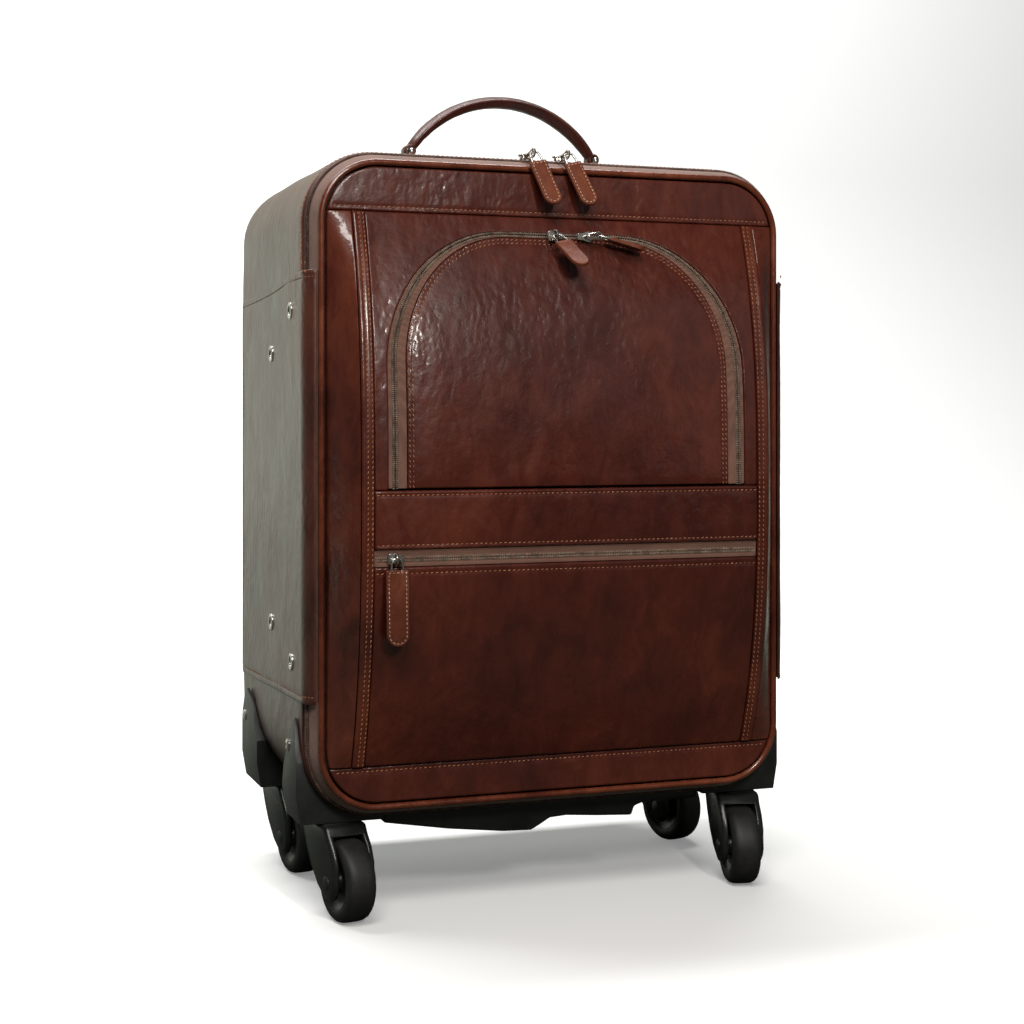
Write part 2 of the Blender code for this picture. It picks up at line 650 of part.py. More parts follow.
def build_carry_handle():
    pivot = (0.0, LID_Y + HANDLE_DEPTH, HANDLE_PIVOT_Z)
    rise = HANDLE_RISE + HANDLE_PIVOT_Z - EYE_Z
    radius = (HANDLE_SPAN**2 + rise**2) / (2 * rise)
    spread = math.asin(HANDLE_SPAN / radius)
    sections = []
    for step in range(17):
        angle = -spread + 2 * spread * step / 16
        taper = 1.0 - 0.42 * abs(angle / spread) ** 4
        normal = Vector((math.sin(angle), 0.0, math.cos(angle)))
        centre = Vector((radius * normal.x, pivot[1], EYE_Z + rise - radius + radius * normal.z))
        for turn in (math.radians(22.5 + 45 * side) for side in range(8)):
            sideways = STRAP_WIDE / 2 * taper * math.cos(turn)
            outward = normal * (STRAP_THICK / 2 * math.sin(turn))
            sections.append(centre + outward + Vector((0.0, sideways, 0.0)))
    handle = smooth(add_object("carry_handle", sections, skin_rings(17, 8, False), "leather", pivot), 50)
    staple_low = BODY_TOP + GAP
    for side, sign in (("left", -1), ("right", 1)):
        x = sign * HANDLE_SPAN
        eye = extrude(f"handle_eye_{side}", circle(x, EYE_Z, EYE_R, 12), across_y,
                      HANDLE_DEPTH - STRAP_WIDE / 4, HANDLE_DEPTH + STRAP_WIDE / 4, None)
        join(handle, eye)
        bore = extrude(f"handle_bore_{side}", circle(x, EYE_Z, RING_BORE, 12), across_y,
                       HANDLE_DEPTH - STRAP_WIDE, HANDLE_DEPTH + STRAP_WIDE, None)
        cut(handle, bore)

        wire = RING_WIRE
        low = HANDLE_PIVOT_Z - STAPLE_R - RING_PLAY - wire
        high = EYE_Z + wire / 2

        def trapezoid(inset):
            foot, top = STAPLE_R + RING_PLAY + wire - inset, RING_INSIDE + wire - inset
            return [(HANDLE_DEPTH - foot, low + inset), (HANDLE_DEPTH + foot, low + inset),
                    (HANDLE_DEPTH + top, high - inset), (HANDLE_DEPTH - top, high - inset)]

        ring = extrude(f"handle_ring_{side}", trapezoid(0.0), across_x, x - wire / 2, x + wire / 2,
                       "zip_metal", pivot)
        cut(ring, extrude(f"ring_hollow_{side}", trapezoid(wire), across_x, x - wire, x + wire, None))

        reach = 0.0085
        outline = [(x - reach, staple_low), (x + reach, staple_low), (x + reach, HANDLE_PIVOT_Z + STAPLE_R),
                   (x - reach, HANDLE_PIVOT_Z + STAPLE_R)]
        staple = extrude(f"handle_anchor_{side}", outline, across_y, HANDLE_DEPTH - STAPLE_R,
                         HANDLE_DEPTH + STAPLE_R, "zip_metal")
        arch_half = reach - 2 * STAPLE_R
        arch = box(f"anchor_arch_{side}", (x - arch_half, HANDLE_DEPTH - 0.01, staple_low + 0.0015),
                   (x + arch_half, HANDLE_DEPTH + 0.01, HANDLE_PIVOT_Z - STAPLE_R))
        cut(staple, arch)
        foot = box(f"anchor_foot_{side}", (x - 0.013, HANDLE_DEPTH - 0.006, staple_low),
                   (x + 0.013, HANDLE_DEPTH + 0.006, staple_low + 0.0012))
        join(staple, foot)


def tube_outline(size, shrink=0.0, steps=3):
    """A rounded rectangle for a tube, centred on zero."""
    half_x, half_y = size[0] / 2 - shrink, size[1] / 2 - shrink
    radius = min(half_x, half_y) * 0.5
    points = []
    for sign_x, sign_y, start in ((1, -1, -90), (1, 1, 0), (-1, 1, 90), (-1, -1, 180)):
        for step in range(steps + 1):
            angle = math.radians(start + 90 * step / steps)
            points.append((sign_x * (half_x - radius) + radius * math.cos(angle),
                           sign_y * (half_y - radius) + radius * math.sin(angle)))
    return points


def tube(name, x, size, wall, low, high, origin, blind=0.0):
    """A rounded tube standing at x, hollow when it has a wall, with a closed lower end when blind."""
    def stand(a, b, z):
        return (x + a, LID_Y + TROLLEY_DEPTH + b, z)

    outside = tube_outline(size)
    if not wall:
        return smooth(extrude(name, outside, stand, low, high, "tube_metal", origin), 50)
    inside = tube_outline(size, wall)
    rings = [[stand(a, b, low) for a, b in outside], [stand(a, b, high) for a, b in outside],
             [stand(a, b, high) for a, b in inside], [stand(a, b, low + blind) for a, b in inside]]
    points = [point for ring in rings for point in ring]
    return smooth(add_object(name, points, skin_rings(4, len(outside), not blind), "tube_metal", origin), 50)


def build_trolley():
    """Bezel and fixed tubes in the body, a middle stage, and an upper stage with the grip and its button."""
    half_wide = BEZEL_WIDE / 2
    floor_z = BODY_TOP - BEZEL_DEEP
    well_half, well_wide = BEZEL_HALF - FLANGE, half_wide - FLANGE
    bezel = box("trolley_bezel", (-well_half, TROLLEY_DEPTH - well_wide, floor_z),
                (well_half, TROLLEY_DEPTH + well_wide, BODY_TOP + GAP + FLANGE_THICK / 2), "black_plastic")
    flange = box("bezel_flange", (-BEZEL_HALF, TROLLEY_DEPTH - half_wide, BODY_TOP + GAP),
                 (BEZEL_HALF, TROLLEY_DEPTH + half_wide, BODY_TOP + GAP + FLANGE_THICK))
    join(bezel, flange)
    pocket_half = GRIP_HALF + GRIP_ROOM
    pocket_wide = GRIP_WIDE / 2 + GRIP_ROOM
    pocket = box("bezel_pocket", (-pocket_half, TROLLEY_DEPTH - pocket_wide, floor_z + BEZEL_FLOOR),
                 (pocket_half, TROLLEY_DEPTH + pocket_wide, BODY_TOP + 0.02))
    cut(bezel, pocket)
    scoop = box("finger_scoop", (-SCOOP_HALF, TROLLEY_DEPTH - pocket_wide - SCOOP_WIDE,
                                 floor_z + BEZEL_FLOOR + 0.002),
                (SCOOP_HALF, TROLLEY_DEPTH, BODY_TOP + 0.02))
    cut(bezel, scoop)

    middle_size = tuple(side - 2 * (TUBE_WALL + TUBE_CLEAR) for side in OUTER_TUBE)
    upper_size = tuple(side - 2 * (TUBE_WALL + TUBE_CLEAR) for side in middle_size)
    foot = BODY_FLOOR + GAP
    outer_top = floor_z - GAP
    stage_top = floor_z + BEZEL_FLOOR - GAP
    grip_low = floor_z + BEZEL_FLOOR + GAP
    grip_high = grip_low + GRIP_TALL
    upper_origin = (0.0, LID_Y + TROLLEY_DEPTH, grip_low)
    middle_origin = (0.0, LID_Y + TROLLEY_DEPTH, stage_top)
    for side, sign in (("left", -1), ("right", 1)):
        x = sign * TUBE_X
        tube(f"outer_tube_{side}", x, OUTER_TUBE, TUBE_WALL, foot, outer_top, (0.0, 0.0, 0.0))
        tube(f"middle_tube_{side}", x, middle_size, TUBE_WALL, foot + 0.002, stage_top, middle_origin)
        tube(f"upper_tube_{side}", x, upper_size, 0.0, foot + 0.004, grip_low - GAP, upper_origin)
        outline = [(x + a, TROLLEY_DEPTH + b) for a, b in tube_outline(middle_size, -TUBE_CLEAR)]
        cut(bezel, extrude(f"bezel_hole_{side}", outline, across_z, floor_z - 0.01, floor_z + 0.01, None))

    grip = box("trolley_grip", (-GRIP_HALF, TROLLEY_DEPTH - GRIP_WIDE / 2, grip_low),
               (GRIP_HALF, TROLLEY_DEPTH + GRIP_WIDE / 2, grip_high), "black_plastic", upper_origin)
    bevelled(grip, 0.0025, 2)
    button_low = grip_high + BUTTON_PROUD - BUTTON_TALL
    seat = 0.0004
    well_wide = BUTTON_WIDE / 2 + seat
    well = box("button_well", (-BUTTON_HALF - seat, TROLLEY_DEPTH - well_wide, button_low - 0.0034),
               (BUTTON_HALF + seat, TROLLEY_DEPTH + well_wide, grip_high + 0.01))
    cut(grip, well)
    finger = box("finger_hollow", (-SCOOP_HALF * 1.6, TROLLEY_DEPTH - GRIP_WIDE, grip_low - 0.001),
                 (SCOOP_HALF * 1.6, TROLLEY_DEPTH + GRIP_WIDE, grip_low + 0.005))
    cut(grip, finger)
    button = box("release_button", (-BUTTON_HALF, TROLLEY_DEPTH - BUTTON_WIDE / 2, button_low),
                 (BUTTON_HALF, TROLLEY_DEPTH + BUTTON_WIDE / 2, button_low + BUTTON_TALL), "black_plastic",
                 (0.0, LID_Y + TROLLEY_DEPTH, button_low))
    bevelled(button, 0.001, 1)


def build_inside():
    case_loft("lining_board", [(LINING_DEPTH, BODY_OUT - SHELL_WALL - SEAM),
                               (LINING_DEPTH + LINING_THICK, BODY_OUT - SHELL_WALL - SEAM)], "lining")
    back = LINING_DEPTH - GAP
    low = BODY_FLOOR + GAP
    sleeve = box("laptop_sleeve", (-SLEEVE_HALF, SLEEVE_FRONT, low + LID_CORNER / 2),
                 (SLEEVE_HALF, back, SLEEVE_TOP), "lining")
    hollow = box("sleeve_hollow", (-SLEEVE_HALF + SLEEVE_PAD, SLEEVE_FRONT + SLEEVE_PAD,
                                   low + LID_CORNER / 2 + SLEEVE_PAD),
                 (SLEEVE_HALF - SLEEVE_PAD, back - SLEEVE_PAD / 2, SLEEVE_TOP + 0.02))
    cut(sleeve, hollow)
    flat = LID_HALF - LID_CORNER - 0.004
    box("hinge_tape", (-flat, BODY_COIL_DEPTH - 0.0006, BODY_FLOOR + GAP),
        (flat, SHELL_FRONT + 0.02, BODY_FLOOR + GAP + 0.0008), "zip_tape")


def guard_profile(sign):
    """The corner guard in the XZ plane. Inside it follows the body's corner, outside it is a smooth cheek."""
    radius = LID_CORNER + BODY_OUT + GAP
    centre_x, centre_z = LID_HALF - LID_CORNER, LID_BOTTOM + LID_CORNER
    start = -math.acos((GUARD_INNER - centre_x) / radius) if GUARD_INNER > centre_x else -math.pi / 2
    points = [(GUARD_INNER, GUARD_BOTTOM), (GUARD_INNER, centre_z - radius)]
    for step in range(9):
        angle = start * (1 - step / 8)
        points.append((centre_x + radius * math.cos(angle), centre_z + radius * math.sin(angle)))
    points += [(centre_x + radius, GUARD_BOTTOM + 0.076), (centre_x + radius + 0.0012, GUARD_BOTTOM + 0.076),
               (GUARD_OUTER, GUARD_BOTTOM + 0.048), (GUARD_OUTER, GUARD_BOTTOM + 0.018),
               (GUARD_OUTER - 0.0030, GUARD_BOTTOM)]
    return [(sign * x, z) for x, z in points]


def fork_outline():
    """The hooded fork seen from the side, its wheel centre TRAIL in front of the stem."""
    points = [(0.0190, FORK_TOP), (0.0182, FORK_TOP - 0.0077), (0.0130, FORK_TOP - 0.0187),
              (0.0050, WHEEL_R + 0.0060), (-0.0060, WHEEL_R - 0.0050)]
    for step in range(7):
        angle = math.radians(-50 - 150 * step / 6)
        points.append((-TRAIL + 0.0125 * math.cos(angle), WHEEL_R + 0.0125 * math.sin(angle)))
    return points + [(-0.0335, WHEEL_R + 0.0130), (-0.0290, FORK_TOP - 0.0137), (-0.0225, FORK_TOP - 0.0062),
                     (-0.0190, FORK_TOP)]


def build_caster(place, turn_degrees):
    """One corner: guard, swivel fork and wheel."""
    end, side = place.split("_")
    sign = -1 if side == "left" else 1
    x, depth = sign * PIVOT_X, PIVOT_DEPTHS[end]
    guard = extrude(f"caster_guard_{place}", guard_profile(sign), across_y, 0.0, SHELL_BACK, "black_plastic")
    fin = [(fin_depth, GUARD_BOTTOM + height) for fin_depth, height in GUARD_SIDE[end]]
    profile = extrude(f"guard_side_{place}", fin, across_x, sign * (GUARD_INNER - 0.018),
                      sign * (GUARD_OUTER + 0.012), None)
    combine(guard, profile, "INTERSECT")
    socket = extrude(f"guard_socket_{place}", circle(x, depth, STEM_R + 2 * GAP, 12), across_z,
                     GUARD_BOTTOM - 0.005, STEM_TOP + GAP, None)
    cut(guard, socket)

    turn = Matrix.Rotation(math.radians(turn_degrees), 3, "Z")
    pivot = (x, LID_Y + depth, 0.0)
    half = FORK_WIDE / 2

    def local(a, b, t):
        return (t, a, b)

    fork = extrude(f"caster_fork_{place}", fork_outline(), local, -half, half, "black_plastic")
    bevelled(fork, 0.0028, 2)
    room = WHEEL_WIDE / 2 + WHEEL_SIDE
    round_room = circle(-TRAIL, WHEEL_R, WHEEL_R + WHEEL_ROOM, 20)
    well = extrude(f"fork_well_{place}", round_room, local, -room, room, None)
    cut(fork, well)
    pin = extrude(f"fork_pin_{place}", circle(-TRAIL, WHEEL_R, AXLE_R, 12), local, 0.003 - half,
                  half - 0.003, None)
    join(fork, pin)
    stem = extrude(f"fork_stem_{place}", circle(0.0, 0.0, STEM_R, 12), lambda a, b, t: (a, b, t),
                   FORK_TOP - 0.003, STEM_TOP, None)
    join(fork, stem)
    wide, radius = WHEEL_WIDE / 2, WHEEL_R
    bore = AXLE_R + AXLE_CLEAR
    profile = [(-wide, bore), (-wide, radius * 0.42), (-wide + 0.002, radius * 0.46),
               (-wide + 0.002, radius * 0.62), (-wide, radius * 0.68), (-wide, radius - 0.0045),
               (-wide + 0.002, radius - 0.0012),
               (-wide + 0.006, radius), (wide - 0.006, radius), (wide - 0.002, radius - 0.0012),
               (wide, radius - 0.0045), (wide, radius * 0.68), (wide - 0.002, radius * 0.62),
               (wide - 0.002, radius * 0.46), (wide, radius * 0.42), (wide, bore)]
    axle = (0.0, -TRAIL, WHEEL_R)
    wheel = turned_about_x(f"caster_wheel_{place}", profile, axle, "wheel_rubber", 24, axle)
    for made in (fork, well, pin, stem):
        turn_about(made, pivot, turn)
    turn_about(wheel, Vector(pivot) + turn @ Vector(axle), turn)


def build_tray():
    """Moulded base between the guards, with a lower skid on its left half and a shallow one on its right."""
    high = BODY_BOTTOM - GAP
    edge = TRAY_HALF - 0.0095
    skid = [(-TRAY_HALF, 0.0074), (-0.070, 0.0152), (-0.030, 0.0200), (-0.010, 0.0207), (-0.004, 0.0177),
            (0.004, 0.0132), (0.016, 0.0124), (0.040, 0.0144), (0.066, 0.0160), (0.068, 0.0097),
            (0.076, 0.0072), (edge, 0.0072), (TRAY_HALF, 0.0072)]
    outline = [(-TRAY_HALF, high)] + [(x, high - drop) for x, drop in skid] + [(TRAY_HALF, high)]
    tray = extrude("base_tray", outline, across_y, TRAY_FRONT, TRAY_BACK, "black_plastic")
    bevelled(tray, 0.0012, 1)


clear_scene()
MATERIALS = make_materials()
build_shell()
build_wings()
build_zip_rings()
build_lid_panels()
build_flap()
build_zip_pulls()
build_carry_handle()
build_trolley()
build_inside()
for caster_place, caster_turn in CASTER_TURN.items():
    build_caster(caster_place, caster_turn)
build_tray()
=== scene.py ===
"""Looks of a rolling laptop case in polished leather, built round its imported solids.

Metres, +Z up. The lid faces -Y and the case stands on the floor at Z = 0. A depth is measured from the lid's
front plane and grows towards the back of the case.
"""

import json
import math

import bmesh
import bpy
import numpy as np
from mathutils import Matrix, Vector, geometry, noise


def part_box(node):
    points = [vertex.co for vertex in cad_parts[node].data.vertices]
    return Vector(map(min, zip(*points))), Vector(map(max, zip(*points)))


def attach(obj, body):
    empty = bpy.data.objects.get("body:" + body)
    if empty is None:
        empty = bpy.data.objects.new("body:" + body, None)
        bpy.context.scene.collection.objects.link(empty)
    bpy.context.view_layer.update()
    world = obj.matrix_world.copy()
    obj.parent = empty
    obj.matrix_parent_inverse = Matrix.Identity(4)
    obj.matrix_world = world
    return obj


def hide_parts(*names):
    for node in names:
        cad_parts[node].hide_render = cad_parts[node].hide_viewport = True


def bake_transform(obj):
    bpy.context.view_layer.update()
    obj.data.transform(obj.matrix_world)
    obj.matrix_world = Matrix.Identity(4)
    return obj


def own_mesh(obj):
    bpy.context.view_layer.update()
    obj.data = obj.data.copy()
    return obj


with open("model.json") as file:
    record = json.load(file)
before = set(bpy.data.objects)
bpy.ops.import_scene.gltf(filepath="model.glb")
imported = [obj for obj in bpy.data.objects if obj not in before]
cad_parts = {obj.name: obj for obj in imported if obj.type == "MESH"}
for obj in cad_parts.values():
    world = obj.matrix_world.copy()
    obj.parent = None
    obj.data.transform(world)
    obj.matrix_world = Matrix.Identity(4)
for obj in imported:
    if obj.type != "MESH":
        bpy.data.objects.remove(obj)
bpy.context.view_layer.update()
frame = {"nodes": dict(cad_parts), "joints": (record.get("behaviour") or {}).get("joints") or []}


# Studio. A pale floor that sweeps up into a pale wall. A high softbox lights the lid from the left, with a
# narrow one for its highlights and a weak one on its right. Two more light the wall and the case's left side.
board_low, board_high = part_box("lid_board")
SEAM = 0.0005
BOARD_SUNK = 0.0015
lid_y = board_low.y - BOARD_SUNK


def plain_object(name, points, faces):
    mesh = bpy.data.meshes.new(name)
    mesh.from_pydata([tuple(point) for point in points], [], faces)
    made = bpy.data.objects.new(name, mesh)
    bpy.context.scene.collection.objects.link(made)
    return made


def new_material(name):
    """A node material, with its tree and its Principled shader."""
    material = bpy.data.materials.new(name)
    material.use_nodes = True
    tree = material.node_tree
    return material, tree, tree.nodes["Principled BSDF"]


def add_node(tree, kind, values=None, **settings):
    """A node of the tree with its settings made and its sockets given a value or a link."""
    node = tree.nodes.new(kind)
    for key, value in settings.items():
        setattr(node, key, value)
    for key, value in (values or {}).items():
        if isinstance(value, bpy.types.NodeSocket):
            tree.links.new(value, node.inputs[key])
        else:
            node.inputs[key].default_value = value
    return node


def shaded(tree, factor, dark, light, start=0.0, end=1.0):
    """A ramp from a dark colour to a light one between two values of its factor."""
    ramp = add_node(tree, "ShaderNodeValToRGB", {"Fac": factor})
    low, high = ramp.color_ramp.elements
    low.position, low.color = start, (*dark, 1.0)
    high.position, high.color = end, (*light, 1.0)
    return ramp


def object_place(tree):
    return add_node(tree, "ShaderNodeTexCoord").outputs["Object"]


def backdrop():
    """Floor and wall in one sweep, pale to look at but dim in reflections."""
    profile = [(-4.0, 0.0), (1.6, 0.0)]
    for step in range(1, 13):
        turn = math.radians(90 * step / 12)
        profile.append((1.6 + 0.9 * math.sin(turn), 0.9 * (1 - math.cos(turn))))
    profile.append((2.5, 4.0))
    points = [(x, y, z) for y, z in profile for x in (-5.0, 5.0)]
    faces = [(2 * row, 2 * row + 1, 2 * row + 3, 2 * row + 2) for row in range(len(profile) - 1)]
    made = plain_object("studio_floor", points, faces)
    made.data.shade_smooth()
    material, tree, shader = new_material("pale_backdrop")
    shader.inputs["Base Color"].default_value = (0.90, 0.90, 0.89, 1.0)
    shader.inputs["Roughness"].default_value = 0.9
    shader.inputs["Emission Color"].default_value = (1.0, 1.0, 1.0, 1.0)
    shader.inputs["Emission Strength"].default_value = 0.22
    place = add_node(tree, "ShaderNodeSeparateXYZ", {"Vector": object_place(tree)})
    behind = add_node(tree, "ShaderNodeMapRange", {"Value": place.outputs["Y"], "From Min": 0.2,
                                                   "From Max": 0.9})
    shade = shaded(tree, behind.outputs[0], (0.08, 0.085, 0.07), (0.34, 0.36, 0.31))
    dim = add_node(tree, "ShaderNodeBsdfDiffuse", {"Color": shade.outputs[0]})
    seen = add_node(tree, "ShaderNodeLightPath")
    pick = add_node(tree, "ShaderNodeMixShader", {0: seen.outputs["Is Camera Ray"], 1: dim.outputs[0],
                                                  2: shader.outputs[0]})
    tree.links.new(pick.outputs[0], tree.nodes["Material Output"].inputs["Surface"])
    made.data.materials.append(material)


def softbox(name, place, aim, size, power, colour=(1.0, 1.0, 1.0)):
    lamp = bpy.data.lights.new(name, "AREA")
    lamp.shape = "RECTANGLE"
    lamp.size, lamp.size_y = size
    lamp.energy = power
    lamp.color = colour
    made = bpy.data.objects.new(name, lamp)
    made.location = place
    made.rotation_euler = (Vector(aim) - Vector(place)).to_track_quat("-Z", "Y").to_euler()
    bpy.context.scene.collection.objects.link(made)
    return made


def studio_camera():
    """Level camera in front of the case's left half, its frame slid down to take in the wheels."""
    lens = bpy.data.cameras.new("studio_camera")
    lens.sensor_width = 36.0
    lens.lens = 62.56
    lens.shift_y = -0.0962
    made = bpy.data.objects.new("studio_camera", lens)
    made.location = (-0.4399, lid_y - 1.1338, 0.3358)
    made.rotation_euler = (math.radians(90), 0.0, math.radians(-19.74))
    bpy.context.scene.collection.objects.link(made)
    bpy.context.scene.camera = made


backdrop()
studio_camera()
world = bpy.data.worlds.new("studio_air")
world.use_nodes = True
world.node_tree.nodes["Background"].inputs["Color"].default_value = (0.97, 0.98, 1.0, 1.0)
world.node_tree.nodes["Background"].inputs["Strength"].default_value = 0.06
bright = add_node(world.node_tree, "ShaderNodeBackground", {"Color": (1.0, 1.0, 1.0, 1.0), "Strength": 1.0})
world_seen = add_node(world.node_tree, "ShaderNodeLightPath")
world_pick = add_node(world.node_tree, "ShaderNodeMixShader", {
    0: world_seen.outputs["Is Camera Ray"], 1: world.node_tree.nodes["Background"].outputs[0],
    2: bright.outputs[0]})
world.node_tree.links.new(world_pick.outputs[0], world.node_tree.nodes["World Output"].inputs["Surface"])
bpy.context.scene.world = world
case_middle = (0.0, -0.1, 0.34)
softbox("key_softbox", (-0.55, -1.25, 1.55), case_middle, (0.7, 0.55), 15.5, (1.0, 0.97, 0.93))
softbox("strip_softbox", (-0.04, -1.27, 0.84), (-0.15, -0.12, 0.41), (0.06, 0.22), 5.2, (1.0, 0.96, 0.90))
softbox("fill_softbox", (1.5, -2.2, 0.9), case_middle, (0.8, 1.4), 1.0)
softbox("wall_softbox", (-0.4, 0.9, 3.0), (-0.4, 2.4, 0.5), (3.2, 0.9), 150)
softbox("side_softbox", (-1.1, 1.9, 0.35), (-0.3, 0.0, 0.25), (1.3, 2.0), 3.6, (0.96, 1.0, 0.86))
bpy.context.scene.view_settings.view_transform = "Standard"


# Body shell. Vegetable-tanned hide dyed reddish brown, rubbed darker and lighter by hand and glazed, wrapped
# round a stiff board tub. A woven lining is glued inside, and the hide's front edge is turned in and stitched.
LID_CORNER = 0.036
LID_HALF = board_high.x + SEAM
LID_BOTTOM = board_low.z - SEAM
LID_TOP = board_high.z + SEAM
shell_low, shell_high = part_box("body_shell")
BODY_OUT = shell_high.x - LID_HALF
SHELL_FRONT = shell_low.y - lid_y
SHELL_BACK = shell_high.y - lid_y
SHELL_WALL = 0.004
REAR_ROUND = 0.024


def leather_material(name, dark, middle, light, creasing=1.0, roughness=0.34, coat=0.5, coat_roughness=0.15):
    """Glazed hide: hand-rubbed colour, shallow swells, patches of fine folds, and a pebbly grain."""
    material, tree, shader = new_material(name)
    place = object_place(tree)
    cloud = add_node(tree, "ShaderNodeTexNoise", {"Vector": place, "Scale": 7.0, "Detail": 3.0,
                                                  "Roughness": 0.6})
    drawn_out = add_node(tree, "ShaderNodeMapping", {"Vector": place, "Scale": (1.0, 1.0, 0.5)})
    mottle = add_node(tree, "ShaderNodeTexNoise", {"Vector": drawn_out.outputs[0], "Scale": 60.0, "Detail": 6.0,
                                                   "Roughness": 0.68, "Distortion": 0.5})
    mixed = add_node(tree, "ShaderNodeMix", {0: 0.42, 2: cloud.outputs["Fac"], 3: mottle.outputs["Fac"]})
    rubbed = shaded(tree, mixed.outputs[0], dark, light, 0.36, 0.66)
    rubbed.color_ramp.elements.new(0.5).color = (*middle, 1.0)

    warp = add_node(tree, "ShaderNodeTexNoise", {"Vector": place, "Scale": 55.0, "Detail": 3.0})
    shift = add_node(tree, "ShaderNodeVectorMath", {0: warp.outputs["Color"], 1: (0.012, 0.012, 0.012)},
                     operation="MULTIPLY")
    warped = add_node(tree, "ShaderNodeVectorMath", {0: drawn_out.outputs[0], 1: shift.outputs[0]},
                      operation="ADD")
    folds = add_node(tree, "ShaderNodeTexVoronoi", {"Vector": warped.outputs[0], "Scale": 240.0},
                     feature="SMOOTH_F1")
    where = add_node(tree, "ShaderNodeTexNoise", {"Vector": place, "Scale": 15.0, "Detail": 2.0})
    patch = add_node(tree, "ShaderNodeMapRange", {"Value": where.outputs["Fac"], "From Min": 0.45,
                                                  "From Max": 0.68, "To Min": 0.22})
    folded = add_node(tree, "ShaderNodeMath", {0: folds.outputs["Distance"], 1: patch.outputs[0]},
                      operation="MULTIPLY")
    grain = add_node(tree, "ShaderNodeTexVoronoi", {"Vector": place, "Scale": 1100.0})
    swell = add_node(tree, "ShaderNodeTexNoise", {"Vector": place, "Scale": 40.0, "Detail": 4.0,
                                                  "Roughness": 0.55})
    first = add_node(tree, "ShaderNodeBump", {"Height": swell.outputs["Fac"], "Distance": 0.0017 * creasing,
                                              "Strength": 0.5})
    second = add_node(tree, "ShaderNodeBump", {"Height": folded.outputs[0], "Distance": 0.0009 * creasing,
                                               "Strength": 0.5, "Normal": first.outputs[0]})
    third = add_node(tree, "ShaderNodeBump", {"Height": grain.outputs["Distance"], "Distance": 0.00012,
                                              "Strength": 0.4, "Normal": second.outputs[0]})
    polish = add_node(tree, "ShaderNodeMapRange", {"Value": mottle.outputs["Fac"], "From Min": 0.3,
                                                   "From Max": 0.7, "To Min": roughness - 0.06,
                                                   "To Max": roughness + 0.10})
    tree.links.new(rubbed.outputs[0], shader.inputs["Base Color"])
    tree.links.new(polish.outputs[0], shader.inputs["Roughness"])
    tree.links.new(third.outputs[0], shader.inputs["Normal"])
    tree.links.new(second.outputs[0], shader.inputs["Coat Normal"])
    shader.inputs["Coat Weight"].default_value = coat
    shader.inputs["Coat Roughness"].default_value = coat_roughness
    shader.inputs["Specular IOR Level"].default_value = 0.35
    return material


def woven_material(name, dark, light, threads, roughness=0.85, twill=False):
    """Cloth of crossed threads, `threads` of them to the metre, in three directions so that it turns corners."""
    material, tree, shader = new_material(name)
    place = object_place(tree)
    turned = add_node(tree, "ShaderNodeMapping", {"Vector": place, "Rotation": (0.0, 0.0, 0.0)})
    if twill:
        turned.inputs["Rotation"].default_value = (0.5, 0.7, 0.6)
    waves = []
    for direction in ("X", "Y", "Z"):
        wave = add_node(tree, "ShaderNodeTexWave", {"Vector": turned.outputs[0], "Scale": threads / 6.2832,
                                                    "Distortion": 0.6, "Detail": 1.0, "Detail Scale": 3.0},
                        bands_direction=direction)
        waves.append(wave.outputs["Fac"])
    one = add_node(tree, "ShaderNodeMath", {0: waves[0], 1: waves[1]}, operation="MAXIMUM")
    both = add_node(tree, "ShaderNodeMath", {0: one.outputs[0], 1: waves[2]}, operation="MULTIPLY")
    fuzz = add_node(tree, "ShaderNodeTexNoise", {"Vector": place, "Scale": 60.0, "Detail": 5.0})
    shade = add_node(tree, "ShaderNodeMix", {0: 0.4, 2: both.outputs[0], 3: fuzz.outputs["Fac"]})
    colour = shaded(tree, shade.outputs[0], dark, light, 0.15, 0.75)
    bump = add_node(tree, "ShaderNodeBump", {"Height": both.outputs[0], "Distance": 0.00025, "Strength": 0.6})
    tree.links.new(colour.outputs[0], shader.inputs["Base Color"])
    tree.links.new(bump.outputs[0], shader.inputs["Normal"])
    shader.inputs["Roughness"].default_value = roughness
    shader.inputs["Sheen Weight"].default_value = 0.25
    return material


def closed_mesh(name, points, faces, materials, angle=50):
    """A closed mesh whose faces all point outwards, smooth but for edges sharper than the angle."""
    made = plain_object(name, points, faces)
    shell = bmesh.new()
    shell.from_mesh(made.data)
    bmesh.ops.recalc_face_normals(shell, faces=shell.faces)
    shell.to_mesh(made.data)
    shell.free()
    made.data.shade_smooth()
    made.data.set_sharp_from_angle(angle=math.radians(angle))
    for material in materials:
        made.data.materials.append(material)
    return made


def ring_faces(count, size, around, caps=True):
    """Faces that join `count` rings of `size` points, capped unless the rings run round to the first one."""
    faces = []
    for ring in range(count if around else count - 1):
        near, far = ring * size, (ring + 1) % count * size
        for step in range(size):
            nxt = (step + 1) % size
            faces.append((near + step, near + nxt, far + nxt, far + step))
    if caps and not around:
        faces.append(tuple(range(size)))
        faces.append(tuple((count - 1) * size + step for step in range(size)))
    return faces


